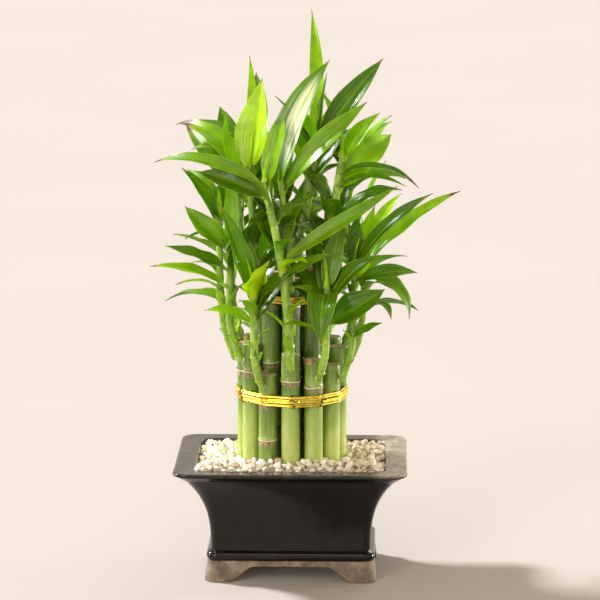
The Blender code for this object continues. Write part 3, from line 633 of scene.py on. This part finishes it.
def clay_look():
    """The unglazed skirt and feet: smudged brown-grey clay."""
    look = Look("bare_clay")
    smudge = look.noise(9 * MM, 4, 0.6)
    grain = look.noise(0.7 * MM, 3, 0.6)
    clay = look.ramp(
        smudge, (0.32, 0.08, 0.058, 0.041), (0.52, 0.215, 0.162, 0.116), (0.7, 0.35, 0.28, 0.205)
    )
    colour = look.mix(look.span(grain, 0.35, 0.7, 0, 0.35), clay, (0.12, 0.09, 0.065))
    matt = look.span(grain, 0.3, 0.7, 0.6, 0.85)
    return look.finish(colour, matt, grain, 0.18 * MM, 0.6, IOR=1.5)


def marble_look():
    """Marble chips: tan, cream or white, clouded and sugary."""
    look = Look("marble_chips")
    clouds = look.noise(2.6 * MM, 3, 0.6)
    grain = look.noise(0.45 * MM, 2, 0.6)
    stone = look.ramp(
        look.mark("kind"),
        (0, 0.42, 0.3, 0.19),
        (0.08, 0.68, 0.57, 0.43),
        (0.35, 0.87, 0.79, 0.66),
        (0.75, 0.95, 0.9, 0.8),
        (1, 0.98, 0.96, 0.92),
    )
    colour = look.mix(look.span(clouds, 0.42, 0.7, 0, 0.4), stone, (0.7, 0.57, 0.41))
    matt = look.span(grain, 0.3, 0.7, 0.5, 0.75)
    return look.finish(colour, matt, grain, 0.12 * MM, 0.5, IOR=1.5)


def gold_look():
    """Gold wire, stained on the short bindings."""
    look = Look("gold_wire")
    clouds = look.noise(3 * MM, 3, 0.6)
    scuffs = look.noise(0.5 * MM, 2, 0.5)
    gold = look.ramp(clouds, (0.3, 0.58, 0.39, 0.035), (0.5, 0.9, 0.7, 0.09), (0.7, 1, 0.86, 0.22))
    stained = look.math("MULTIPLY", look.mark("tarnish"), look.span(look.noise(1.3 * MM), 0.42, 0.56))
    colour = look.mix(stained, gold, (0.1, 0.055, 0.018))
    gloss = look.span(scuffs, 0.3, 0.7, 0.22, 0.4)
    return look.finish(colour, gloss, scuffs, 0.05 * MM, 0.5, Metallic=1)


def floor_look():
    """The plain pale floor."""
    look = Look("floor")
    colour = look.ramp(look.noise(0.35, 2), (0.3, 0.456, 0.414, 0.385), (0.7, 0.469, 0.427, 0.398))
    return look.finish(colour, 0.7, Specular_IOR_Level=0)


# ---- dish


def foot_lift(x, y):
    """The underside's height at a place from the dish's middle."""
    lifts = []
    for across, (foot, top) in ((x, ARCH_FRONT), (y, ARCH_SIDE)):
        lifts.append(ARCH_HEIGHT * smooth_step(foot - abs(across), 0, foot - top))
    return max(lifts)


def outline(inset):
    """The dish's plan at an inset from the rim's edge, about its middle."""
    radius = max(RIM_CORNER_RADIUS - 0.15 * inset, 3 * MM)
    half_x, half_y = RIM_HALF.x - inset - radius, RIM_HALF.y - inset - radius
    corners = []
    for quarter, (side_x, side_y) in enumerate(((1, 1), (-1, 1), (-1, -1), (1, -1))):
        middle = Vector((side_x * half_x, side_y * half_y, 0))
        angles = [(quarter + k / CORNER_STEPS) * pi / 2 for k in range(CORNER_STEPS + 1)]
        corners.append([middle + radius * Vector((cos(a), sin(a), 0)) for a in angles])
    points = []
    for quarter, corner in enumerate(corners):
        following = corners[(quarter + 1) % 4][0]
        steps = SIDE_STEPS[1] if quarter in (0, 2) else SIDE_STEPS[0]
        points += corner + [corner[-1].lerp(following, k / steps) for k in range(1, steps)]
    return points


def dish_row(height, inset):
    """A level row of the dish's skin, a little uneven."""
    row = []
    for flat in outline(inset):
        point = CENTRE + flat + UP * height
        wobble = 0.13 * MM * ripple(point, 17 * MM)
        row.append(point + flat.normalized() * wobble - UP * abs(wobble) * 0.6)
    return row


def skirt_row(share, sink=0, tuck=0):
    """A row of the skirt, from the arched foot edge (0) to the bead (1)."""
    row = []
    for outer, inner in zip(outline(SKIRT_FOOT_INSET), outline(SKIRT_TOP_INSET)):
        lift = foot_lift(outer.x, outer.y)
        height = lift + sink + (SKIRT_TOP - lift - sink) * share
        flat = outer.lerp(inner, height / SKIRT_TOP)
        flat -= flat.normalized() * tuck
        row.append(CENTRE + flat + UP * height)
    return row


def glazed_profile():
    """(height, inset, thinness of the glaze) from the bead over the rim to the cavity's floor."""
    rows = []
    for k in range(BEAD_ROWS + 1):
        turn = radians(-90 + 180 / BEAD_ROWS * k)
        inset = BEAD_INSET + BEAD_DEPTH * (1 - cos(turn))
        rows.append((BEAD_MIDDLE + BEAD_HALF * sin(turn), inset, 0))
    for k in range(FLARE_ROWS + 1):
        share = k / FLARE_ROWS
        inset = FLARE_TOP_INSET + (FLARE_INSET - FLARE_TOP_INSET) * (1 - share**FLARE_POWER)
        rows.append((FLARE_FOOT + (FLARE_TOP - FLARE_FOOT) * share, inset, 0))
    rows += [(RIM_TOP - depth * MM, inset * MM, thin) for depth, inset, thin in RIM_PROFILE_MM]
    wall_top = rows[-1][0]
    for k in range(1, CAVITY_ROWS + 1):
        height = wall_top - (wall_top - CAVITY_FLOOR) * k / CAVITY_ROWS
        share = (height - CAVITY_FLOOR) / (RIM_TOP - CAVITY_FLOOR)
        inset = MOUTH_INSET + (CAVITY_FOOT_INSET - MOUTH_INSET) * (1 - share) ** CAVITY_POWER
        rows.append((height, inset + 0.4 * MM, 0))
    return rows


def build_dish():
    """The dish as one closed skin, glazed but for its skirt, feet and underside."""
    shell = Shell("thin")
    edge = skirt_row(0, 0, SKIRT_ROUNDING)
    clay = []
    for k in range(1, UNDERSIDE_ROWS + 1):
        flats = [(point - CENTRE) * (k / UNDERSIDE_ROWS) for point in edge]
        clay.append([CENTRE + Vector((flat.x, flat.y, foot_lift(flat.x, flat.y))) for flat in flats])
    clay += [skirt_row(0, 0.25 * MM, 0.25 * MM)]
    clay += [skirt_row(k / SKIRT_ROWS, SKIRT_ROUNDING) for k in range(SKIRT_ROWS + 1)]
    profile = glazed_profile()
    glazed = [dish_row(height, inset) for height, inset, _ in profile]
    clay_faces = len(edge) * len(clay)
    thin = [0] * clay_faces
    for row, (_, _, value) in zip(glazed, profile):
        for point in row:
            # Painted reflection to the right and painted shade behind, on top of the thin glaze's own share.
            right = smooth_step(point.x - CENTRE.x, *PAINTED_SHEEN_RIGHT)
            behind = smooth_step(point.y - CENTRE.y, *PAINTED_SHADE_BEHIND)
            thin.append(min(value * (THIN_LEFT_SHARE + PAINTED_SHEEN_MORE * right) * (1 - 0.9 * behind), 1))
    shell.loft(clay + glazed, thin=thin)
    shell.slots[:clay_faces] = [1] * clay_faces
    shell.slots[-2] = 1
    shell.piece("footed_dish", [glaze_look(), clay_look()], "dish", sharp=40)


# ---- gravel


def gravel_height(x, y):
    """The gravel's height at a place from the dish's middle."""
    wall = min(RIM_HALF.x - MOUTH_INSET - abs(x), RIM_HALF.y - MOUTH_INSET - abs(y))
    heap = GRAVEL_HEAP * smooth_step(-y, 24 * MM, 33 * MM)
    return GRAVEL_AT_WALL + (GRAVEL_AT_CANES - GRAVEL_AT_WALL) * smooth_step(wall, 0, GRAVEL_SLOPE) + heap


def chip_shape(rng):
    """Points and faces of one angular, slightly worn chip of unit size."""
    shape = bmesh.new()
    stretch = Vector((rng.uniform(0.85, 1.25), rng.uniform(0.75, 1), rng.uniform(0.68, 0.9)))
    for _ in range(16):
        spot = Vector([rng.gauss(0, 1) for _ in range(3)]).normalized()
        spot *= 0.5 * rng.uniform(0.82, 1)
        shape.verts.new(spot * stretch)
    hull = bmesh.ops.convex_hull(shape, input=shape.verts)
    loose = [item for item in hull["geom_interior"] if isinstance(item, bmesh.types.BMVert)]
    bmesh.ops.delete(shape, geom=loose, context="VERTS")
    bmesh.ops.subdivide_edges(shape, edges=shape.edges, cuts=1, use_grid_fill=True)
    axes = {f"use_axis_{axis}": True for axis in "xyz"}
    bmesh.ops.smooth_vert(shape, verts=shape.verts, factor=0.3, **axes)
    shape.verts.index_update()
    points = [vertex.co.copy() for vertex in shape.verts]
    faces = [tuple(vertex.index for vertex in face.verts) for face in shape.faces]
    shape.free()
    return points, faces


def chip_places(rng, canes):
    """Where the chips lie: a bed, a loose top, more along the front, and a few on the rim."""
    half_x, half_y = RIM_HALF.x - MOUTH_INSET - CHIP_MARGIN, RIM_HALF.y - MOUTH_INSET - CHIP_MARGIN
    places = []
    for depth, spacing, tries, back in CHIP_LAYERS:
        cells = {}
        pitch = CHIP_SPACING * spacing
        for _ in range(tries):
            x, y = rng.uniform(-half_x, half_x), rng.uniform(-half_y, back * half_y)
            size = rng.uniform(*CHIP_SIZES_MM) * MM
            spot = CENTRE + Vector((x, y, 0))
            if any((spot.xy - cane.xy).length < radius + 0.3 * size for cane, radius in canes):
                continue
            if hypot(x, y) < CLEAR_HEART:
                continue
            column, row = int(x // pitch), int(y // pitch)
            around = [cells.get((column + i, row + j), ()) for i in (-1, 0, 1) for j in (-1, 0, 1)]
            if any(hypot(x - a, y - b) < pitch for group in around for a, b in group):
                continue
            cells.setdefault((column, row), []).append((x, y))
            height = gravel_height(x, y) - depth * MM + rng.uniform(-0.5, 0.5) * MM
            places.append((spot + UP * height, size))
    for x, y, size in RIM_CHIPS_MM:
        places.append((CENTRE + Vector((x * MM, y * MM, RIM_TOP + 0.3 * size * MM)), size * MM))
    return places


def build_gravel():
    """Loose marble chips round the canes, on a bed of the same stone."""
    rng = random.Random(11)
    shell = Shell("kind")
    shapes = [chip_shape(rng) for _ in range(CHIP_SHAPES)]
    names = [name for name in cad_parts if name.startswith("cane_")]
    canes = [cane_body(name.removeprefix("cane_"))[2:] for name in names]
    reach = outline(MOUTH_INSET + BED_GAP)
    rows = [[CENTRE + flat * BED_FOOT_SHARE + UP * (GRAVEL_AT_WALL - BED_DEPTH) for flat in reach]]
    for share in BED_SHARES:
        row = []
        for flat in reach:
            point = CENTRE + flat * share
            height = gravel_height(flat.x * share, flat.y * share) - BED_BELOW_CHIPS
            row.append(point + UP * (height + BED_LUMPS * ripple(point, BED_LUMP_SIZE)))
        rows.append(row)
    shell.loft(rows, kind=0.25)
    for place, size in chip_places(rng, canes):
        points, faces = rng.choice(shapes)
        turn = Matrix.Rotation(rng.uniform(0, 2 * pi), 3, "Z")
        tip, tilt = (Matrix.Rotation(rng.uniform(-0.6, 0.6), 3, axis) for axis in "XY")
        turn @= tip @ tilt
        # Painted shade: towards the right the chip's kind is pulled down to the darker, tan stones.
        tan = PAINTED_SHADE_RIGHT * smooth_step(place.x - CENTRE.x, *PAINTED_SHADE_BETWEEN)
        shell.add([place + turn @ (point * size) for point in points], faces, kind=rng.random() * (1 - tan))
    shell.piece("marble_gravel", [marble_look()], "gravel", sharp=32)


# ---- canes


def add_husk(shell, centre, radius, heading, spread, low, high, seed):
    """A torn papery sheath round part of a cane."""
    across, rise = HUSK_STEPS
    rows = []
    for r in range(rise + 1):
        inner, outer = [], []
        for k in range(across + 1):
            angle = heading + spread * (k / across - 0.5)
            out = heading_vector(angle)
            ragged = 1 - 0.45 * abs(ripple(Vector((angle / 14, seed, 0)), 1))
            height = low + (high - low) * (r / rise) * ragged
            away = 0.12 * MM + HUSK_FLARE * (r / rise) ** 2 * (1 + 0.4 * sin(angle * 0.2 + seed))
            point = Vector((centre.x, centre.y, height)) + out * (radius + away)
            inner.append(point)
            outer.append(point + out * 0.18 * MM)
        rows.append(inner + outer[::-1])
    shell.loft(rows, slot=1)


def build_cane(ring, number, materials):
    """One cane: scarred node rings, a fibrous cut end and torn sheath remains."""
    key = f"{ring}_{number:02d}"
    low, high, middle, widest = cane_body(key)
    top, foot, radius = high.z, low.z, widest - NODE_BULGE
    seed = number * 3.7 + len(ring)
    outer = ring == "outer"
    pitch = LOW_NODE_PITCH.get(number, NODE_PITCH[ring]) if outer else NODE_PITCH[ring]
    nodes = []
    height = top - NODE_BELOW_TOP
    while height > foot + 8 * MM and len(nodes) < MOST_NODES:
        if not nodes or not outer or number in LOW_NODE_CANES:
            nodes.append(height)
        height -= pitch
    heights = {foot + (top - 0.8 * MM - foot) * k / CANE_ROWS for k in range(CANE_ROWS + 1)}
    heights |= {node + away * MM for node in nodes for away in NODE_ROWS_MM}
    rows = []
    marks = {name: [] for name in ("node", "scar", "cut", "low")}

    def add_row(height, at_radius, cut=0, dip=0):
        """A ring of points with its marks."""
        row = []
        for k in range(CANE_SIDES):
            turn = 360 * k / CANE_SIDES
            out = heading_vector(turn)
            point = Vector((middle.x, middle.y, height)) + out * at_radius
            tilt = 0.5 * MM * sin(radians(turn) + seed)
            above = [height + 0.6 * tilt - node for node in nodes]
            bulge = sum(bell(d, 1.3 * MM) * 1.25 - bell(d + 0.9 * MM, 0.4 * MM) * 0.55 for d in above)
            uneven = 0 if cut else 0.1 * MM * ripple(point, 13 * MM, seed) + NODE_BULGE * bulge
            grain = cut * 0.22 * MM * ripple(point, 0.9 * MM, seed)
            row.append(point + out * uneven + UP * (grain - dip))
            ragged = 0.9 * MM * ripple(point, 2.2 * MM, seed + 9)
            marks["node"].append(max(bell(d, 0.45 * MM) for d in above))
            marks["scar"].append(max(bell(d + 1.5 * MM + ragged, 1.15 * MM, 4) for d in above))
            marks["cut"].append(cut)
            under = min((-d for d in above if d < 0), default=40 * MM)
            fade = 0.5 * exp(-under / INTERNODE_FADE)
            # Painted shade: darker higher up, under the leaves.
            crown_shade = 0.2 * smooth_step(height, *CROWN_SHADE_BETWEEN)
            marks["low"].append(0.95 * (height - PALE_FOOT) / PALE_SPAN - 0.06 + fade + crown_shade)
        rows.append(row)

    for height in sorted(heights):
        add_row(height, radius)
    add_row(top - 0.25 * MM, radius - 0.12 * MM)
    add_row(top - 0.08 * MM, radius - 0.35 * MM, 0.7)
    for share, dip in CUT_ROWS:
        add_row(top - 0.1 * MM, radius * share, 1, dip * MM)
    shell = Shell("node", "scar", "cut", "low", "tone")
    shell.loft(rows, tone=CANE_TONES.get(key, 0.5 + 0.35 * sin(seed * 2.1)), **marks)
    outward = degrees(atan2(middle.y - CENTRE.y, middle.x - CENTRE.x))
    rng = random.Random(int(seed * 10))
    for turn in (rng.uniform(-75, -25), rng.uniform(15, 70), rng.uniform(100, 220)):
        spread = rng.uniform(28, 60)
        foot = top - NODE_BELOW_TOP
        reach = (foot + 0.2 * MM, foot + rng.uniform(1.2, 2.6) * MM)
        add_husk(shell, middle, radius, outward + turn, spread, *reach, seed + turn)
    if rng.random() < 0.7:
        turn = outward + rng.uniform(-120, 120)
        spread = rng.uniform(50, 110)
        add_husk(shell, middle, radius, turn, spread, top - 2.6 * MM, top + 1.4 * MM, seed + 5)
    shell.piece(f"bamboo_cane_{key}", materials, f"cane_{key}")


# ---- wire ties


def add_wire(shell, path, radius, closed=True, tarnish=0):
    """A round wire along a path of points."""
    rows = []
    count = len(path)
    for k, point in enumerate(path):
        before = path[k - 1] if closed or k else point
        after = path[(k + 1) % count] if closed or k < count - 1 else point
        along = (after - before).normalized()
        start = UP if abs(along.z) < 0.9 else ACROSS
        rows.append(ring_about(point, along, start, radius, WIRE_SIDES))
    shell.loft(rows, joined=closed, tarnish=tarnish)


def tie_path(ring, wander):
    """Points of a strand pulled tight round a ring of canes."""
    count = RINGS[ring]
    canes = []
    for number in range(1, count + 1):
        _, _, middle, widest = cane_body(f"{ring}_{number:02d}")
        heading = atan2(middle.y - CENTRE.y, middle.x - CENTRE.x)
        canes.append((heading, middle, widest - NODE_BULGE))
    path = []
    for heading, middle, radius in sorted(canes, key=lambda cane: cane[0]):
        for k in range(-3, 4):
            angle = heading + k / 3 * pi / count * 0.94
            out = Vector((cos(angle), sin(angle), 0))
            away, lift = wander(angle)
            path.append(Vector((middle.x, middle.y, 0)) + out * (radius + away) + UP * lift)
    return path


def flattened(value):
    """A sine or cosine that keeps longer to its ends."""
    return copysign(abs(value) ** 0.6, value)


def build_tie(name, node, ring, strands, thickness, wraps):
    """Gold wire wound round a ring of canes, bound together by short wraps."""
    low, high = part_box(node)
    height, width = (low.z + high.z) / 2, high.z - low.z
    shell = Shell("tarnish")
    pitch = (width - thickness) / (strands - 1)
    for strand in range(strands):
        level = height - width / 2 + thickness / 2 + pitch * strand

        def wander(angle, strand=strand, level=level):
            """How far the strand stands off its canes, and its height."""
            sway = sin(angle * 2 + strand * 2.3) + 0.6 * sin(angle * 5 + strand * 1.1)
            away = thickness * (0.62 + 0.22 * sin(angle * 3 + strand * 2.9))
            return away, level + 0.24 * pitch * sway

        add_wire(shell, tie_path(ring, wander), thickness / 2)
    probe = tie_path(ring, lambda angle: (0.6 * thickness, height))
    for heading, turns in wraps:
        aim = heading_vector(heading)
        at = max(probe, key=lambda point: (point - CENTRE).xy.normalized().dot(aim.xy))
        out = Vector((at.x - CENTRE.x, at.y - CENTRE.y, 0)).normalized()
        along = UP.cross(out)
        path = []
        for k in range(turns * WRAP_STEPS + 1):
            angle = 2 * pi * k / WRAP_STEPS
            place = at + out * (0.86 * thickness * flattened(cos(angle)))
            place += UP * ((width / 2 + 0.25 * thickness) * flattened(sin(angle)))
            path.append(place + along * (k / WRAP_STEPS - turns / 2) * thickness * 0.95)
        tail = path[-1]
        path += [tail + out * 0.5 * MM * k + along * 0.7 * MM * k + UP * 0.25 * MM * k for k in range(1, 4)]
        add_wire(shell, path, 0.42 * thickness, closed=False, tarnish=1)
    shell.piece(name, [gold_look()], node, sharp=60)


# ---- stems and leaves


class Stem:
    """A shoot's stem, from its root on the cane outward."""

    def __init__(self, key, shoot, girth):
        _, _, middle, widest = cane_body(key)
        self.outward = Vector((middle.x - CENTRE.x, middle.y - CENTRE.y, 0)).normalized()
        self.root = Vector((middle.x, middle.y, 0)) + self.outward * (widest - NODE_BULGE + CANE_GAP)
        self.root.z = shoot.bud * MM
        self.shoot = shoot
        self.girth = girth

    def share(self, height):
        """The share of the stem's length at a height in millimetres."""
        shoot = self.shoot
        return max((height - shoot.bud) / (shoot.top - shoot.bud), 0) ** (1 / STEM_CURVE)

    def point(self, share, hugging=True):
        """A point at a share of the length. The CAD's stems don't hug the canes."""
        shoot = self.shoot
        hug = smooth_step(share, 0, HUG_UNTIL) ** 0.6 if hugging else 1
        out = shoot.reach * MM * (1 - (1 - share) ** 3) * hug
        rise = (shoot.top - shoot.bud) * MM * share**STEM_CURVE
        lean = Vector((shoot.lean[0], shoot.lean[1], 0)) * MM * share**STEM_LEAN_POWER
        return self.root + self.outward * (STEM_COLLAR + out) + UP * rise + lean

    def axis(self, share, back=AXIS_STEP):
        """The stem's direction at a share of its length."""
        return (self.point(share + AXIS_STEP) - self.point(share - back)).normalized()

    def radius(self, share):
        """The radius at a share: slim at the bud, then fuller, then tapering."""
        bud = 0.72 + 0.28 * smooth_step(share, 0, 0.25)
        return self.girth * bud * (STEM_ROOT_RADIUS + (STEM_TIP_RADIUS - STEM_ROOT_RADIUS) * share)


def leaf_frame(leaf, share):
    """The midrib's direction, the blade's side and its upper face at a share."""
    level = heading_vector(leaf.heading + leaf.sweep * share)
    rise = radians(leaf.rise - leaf.droop * share)
    along = level * cos(rise) + UP * sin(rise)
    side = Vector((-level.y, level.x, 0))
    turn = Matrix.Rotation(radians(leaf.roll), 3, along)
    return along, turn @ side, turn @ along.cross(side)


def leaf_half_width(leaf, share):
    """Half the blade's width: a narrow base, a belly and a long fine tip."""
    rise = sin(0.5 * pi * min(share / BELLY_AT, 1)) ** 0.85
    fall = (1 - max((share - BELLY_AT) / (1 - BELLY_AT), 0) ** 1.9) ** 1.2
    belly = rise * fall
    return 0.56 * leaf.width * MM * belly + LEAF_BASE_HALF * (1 - share) ** 3 * (1 - belly)


def swung(leaf, base, tree):
    """The leaf as the CAD holds it, swung clear of its neighbours, or None."""
    across = np.arange(-SWING_HEADINGS, SWING_HEADINGS + 1) * SWING_STEP
    upward = np.arange(-SWING_RISES, SWING_RISES + 1) * SWING_STEP
    share = (np.arange(SPINE_STEPS) + 0.5) / SPINE_STEPS
    heading = np.radians(leaf.heading + leaf.sweep * share + across[:, None, None])
    rise = np.radians(leaf.rise - leaf.droop * share + upward[None, :, None])
    step = leaf.length * MM / SPINE_STEPS
    runs = (np.cos(heading) * np.cos(rise), np.sin(heading) * np.cos(rise), np.sin(rise) + 0 * heading)
    tips = np.stack([start + step * run.sum(axis=2) for start, run in zip(base, runs)], axis=2)
    found = [(tree.find(tips[i, j])[2], i, j) for i in range(len(across)) for j in range(len(upward))]
    distance, i, j = min(found)
    if distance >= MATCH_WITHIN:
        return None
    return leaf._replace(heading=leaf.heading + float(across[i]), rise=leaf.rise + float(upward[j]))


def add_leaf(shell, stem, leaf, gap, seed, rows=34, columns=6, back=AXIS_STEP):
    """One leaf: thin, folded at the midrib, wavy at its margins and clasping its stem."""
    foot = stem.share(leaf.height)
    stem_axis, clasp_radius = stem.axis(foot, back), stem.radius(foot) + gap
    level = heading_vector(leaf.heading)
    inward = -(level - stem_axis * level.dot(stem_axis)).normalized()
    clasp_side = stem_axis.cross(inward).normalized()
    clasp_share = min(9 / leaf.length, 0.3)
    waves = 1.6 + 1.2 * (sin(seed * 7.7) * 0.5 + 0.5)
    wave_depth = 0.1 + 0.05 * sin(seed * 3.1)
    step = leaf.length * MM * (WIDE_TIP_STRETCH if leaf.width > WIDE_LEAF else 1) / rows
    point = stem.point(foot)
    lines = []
    spots = [sin(0.5 * pi * k / columns) for k in range(-columns, columns + 1)]
    around = spots + spots[::-1]
    marks = {"along": [], "across": around * (rows + 1), "pale": []}
    for row in range(rows + 1):
        share = row / rows
        _, side, up = leaf_frame(leaf, share)
        if side.dot(clasp_side) < 0:
            clasp_side = -clasp_side
        blend = smooth_step(share, 0, clasp_share)
        half = max(leaf_half_width(leaf, share), (0.34 - 0.22 * share) * MM)
        upper, under = [], []
        for spot in spots:
            edge = abs(spot)
            crease = sqrt(edge * edge + 0.012) - 0.11
            phase = 2 * pi * waves * share + seed + (2.1 if spot > 0 else 0)
            wave = wave_depth * edge**2.2 * sin(phase) * sin(pi * min(share * 1.05, 1))
            lift = half * (sin(LEAF_FOLD) * crease + wave - 0.05 * edge**5)
            blade = point + side * (half * spot * cos(LEAF_FOLD)) + up * lift
            turn = spot * CLASP_TURN
            clasp = point + clasp_side * (clasp_radius * sin(turn)) - inward * (clasp_radius * cos(turn))
            upper.append(clasp.lerp(blade, blend))
            thick = (0.42 - 0.18 * share) * MM * (1 - edge**3) + 0.04 * MM
            below_clasp = (-inward * cos(turn) + clasp_side * sin(turn)) * thick
            under.append(upper[-1] + below_clasp.lerp(-up * thick, blend))
        lines.append(upper + under[::-1])
        # Painted highlight: the pale mark, on the blade's right half and away from its base and tip.
        painted_glint_share = leaf.pale / 100 * smooth_step(share, 0.1, 0.28) * (1 - smooth_step(share, 0.72, 0.92))
        marks["along"] += [share] * len(around)
        marks["pale"] += [painted_glint_share * smooth_step(-spot, -0.7, -0.3) for spot in around]
        point = point + leaf_frame(leaf, share + 0.5 / rows)[0] * step
    shell.loft(lines, tone=leaf.tone / 100, dry=leaf.dry / 100, **marks)


def add_sleeve(shell, stem, low, high, heading, gap, tone):
    """A leaf's sheath: a thin sleeve with a slanted, paler upper edge."""
    rows, edges = [], []
    facing = heading_vector(heading)
    for k in range(SHEATH_ROWS + SHEATH_LIP_ROWS + 1):
        rise = min(k / SHEATH_ROWS, 1)
        lip = max(k - SHEATH_ROWS, 0)
        share = stem.share(low + (high - low) * rise)
        centre, axis = stem.point(share), stem.axis(share, 0)
        proud = 0.02 * MM + gap * rise**1.2 - 0.4 * gap * lip
        row = ring_about(centre, axis, ACROSS, stem.radius(share) + proud, STEM_SIDES)
        slant = SHEATH_SLANT * smooth_step(rise, 0.2, 1)
        lifts = [slant * (point - centre).normalized().dot(facing) - 0.35 * MM * lip for point in row]
        rows.append([point + axis * lift for point, lift in zip(row, lifts)])
        edges += [0.55 * smooth_step(rise, 0.9, 1)] * STEM_SIDES
    shell.loft(rows, slot=1, tone=tone, dry=edges)


def add_stem(shell, stem, seed):
    """The stem's tapering tube, with a ringed collar on its cane."""
    rows, tones, edges = [], [], []
    centres = [stem.root + stem.outward * -0.25 * MM, stem.root.lerp(stem.point(0), 0.5)]
    centres += [stem.point(k / STEM_ROWS) for k in range(STEM_ROWS + 1)]
    last = len(centres) - 1
    for k, centre in enumerate(centres):
        axis = (centres[min(k + 1, last)] - centres[max(k - 1, 0)]).normalized()
        share = max(k - 2, 0) / STEM_ROWS
        collar = 0.3 * MM if k < 2 else 0
        radius = (stem.radius(share) + collar) * (0.5 if k == last else 1)
        start = Vector((0.13, 0.02, 1)) if k < 3 else ACROSS
        rows.append(ring_about(centre, axis, start, radius, STEM_SIDES))
        tones += [0.35 + 0.4 * share + 0.12 * sin(seed)] * STEM_SIDES
        edges += [1 if k < 2 else 0] * STEM_SIDES
    shell.loft(rows, slot=1, tone=tones, dry=edges)


def build_shoot(key, shoot, looks):
    """One side shoot. Gives the number of its leaves that the CAD doesn't hold."""
    node = f"shoot_{key}"
    seed = float(sum(ord(letter) for letter in key)) * 0.37
    stem = Stem(key, shoot, 1.15 if key in STOUT_SHOOTS else 0.92 + 0.08 * sin(seed))
    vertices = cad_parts[node].data.vertices
    tree = KDTree(len(vertices))
    for index, vertex in enumerate(vertices):
        tree.insert(vertex.co, index)
    tree.balance()
    shell = Shell("along", "across", "tone", "dry", "pale")
    add_stem(shell, stem, seed)
    heights = sorted(leaf.height for leaf in shoot.leaves)
    missing = 0
    for index, leaf in enumerate(shoot.leaves):
        placed = swung(leaf, stem.point(stem.share(leaf.height), hugging=False), tree)
        if placed is None:
            missing += 1
            continue
        add_leaf(shell, stem, placed, 0.22 * MM, seed + 1.7 * index)
        below = [height for height in heights if height < leaf.height - 1]
        length = min(max(leaf.height - below[-1] + 1, 6), 24) if below else 20
        tone = 0.45 + 0.3 * sin(seed + index)
        add_sleeve(shell, stem, leaf.height - length, leaf.height + 0.8, placed.heading, 0.17 * MM, tone)
    rng = random.Random(int(seed * 100))
    spear = Leaf(shoot.top - 1, rng.uniform(0, 360), 84, 10, rng.uniform(17, 26), 2.6, tone=82, dry=2)
    for leaf in [spear] + EXTRA_LEAVES.get(key, []):
        add_leaf(shell, stem, leaf, 0.15 * MM, rng.uniform(0, 9), rows=24, columns=4)
    height = shoot.bud + 4
    heading = degrees(atan2(stem.outward.y, stem.outward.x)) + rng.uniform(-50, 50)
    while height < min(heights[0] - 3, shoot.bud + 34):
        size = (stem.girth**2 * rng.uniform(11, 17), stem.girth**2 * rng.uniform(3.8, 5.2))
        rise, droop = rng.uniform(58, 76), rng.uniform(5, 35)
        bract = Leaf(height, heading, rise, droop, *size, tone=rng.uniform(50, 80), dry=rng.uniform(4, 20))
        add_leaf(shell, stem, bract, 0.2 * MM, rng.random(), rows=14, columns=4, back=0)
        add_sleeve(shell, stem, height - 7, height + 0.6, heading, 0.09 * MM, 0.45)
        heading += 150 + rng.uniform(-30, 30)
        height += rng.uniform(6.5, 10)
    shell.piece(f"leafy_shoot_{key}", looks, node, sharp=58)
    return missing


# ---- floor, light and camera


def build_stage():
    """The pale floor, the sky, the suns and the camera."""
    scene = bpy.context.scene
    mesh = bpy.data.meshes.new("floor")
    corners = [(x * FLOOR_HALF, y * FLOOR_HALF, 0) for x, y in ((-1, -1), (1, -1), (1, 1), (-1, 1))]
    mesh.from_pydata(corners, [], [(0, 1, 2, 3)])
    mesh.materials.append(floor_look())
    add_object("floor", mesh)

    sky = Look("studio", bpy.data.worlds)
    scene.world = sky.owner
    height = sky.node("SeparateXYZ", {"Vector": sky.node("TexCoord").outputs["Generated"]}).outputs["Z"]
    background = sky.tree.nodes["Background"].inputs
    sky.put(background["Color"], SKY_COLOUR)
    sky.put(background["Strength"], sky.span(height, *SKY_SPAN))

    for name, place, power, spread, colour in SUNS:
        lamp = bpy.data.lights.new(name, "SUN")
        lamp.energy = power
        lamp.angle = radians(spread)
        lamp.color = colour
        sun = add_object(name, lamp)
        sun.location = CENTRE + Vector(place)
        sun.rotation_euler = (CENTRE + UP * AIM_HEIGHT - sun.location).to_track_quat("-Z", "Y").to_euler()

    lens = bpy.data.cameras.new("camera")
    lens.lens = CAMERA_LENS_MM
    lens.sensor_width = CAMERA_SENSOR_MM
    lens.clip_end = CAMERA_REACH
    camera = add_object("camera", lens)
    level = cos(CAMERA_ELEVATION)
    look = Vector((-sin(CAMERA_AZIMUTH) * level, cos(CAMERA_AZIMUTH) * level, -sin(CAMERA_ELEVATION)))
    camera.location = CAMERA_TARGET - look * CAMERA_DISTANCE
    camera.rotation_euler = look.to_track_quat("-Z", "Y").to_euler()
    scene.camera = camera
    scene.view_settings.view_transform = "Standard"


def main():
    """Build every piece."""
    build_stage()
    build_dish()
    build_gravel()
    materials = [cane_look(), husk_look()]
    for ring, count in RINGS.items():
        for number in range(1, count + 1):
            build_cane(ring, number, materials)
    build_tie("lower_wire_tie", "lower_tie", "outer", 7, 0.98 * MM, ((-157, 3), (-87, 3), (-53, 2)))
    build_tie("upper_wire_tie", "upper_tie", "middle", 5, 0.92 * MM, ((-120, 2),))
    looks = [leaf_look(), stem_look()]
    missing = sum(build_shoot(key, shoot, looks) for key, shoot in SHOOTS.items())
    print("leaves without a place in the frame:", missing)


main()
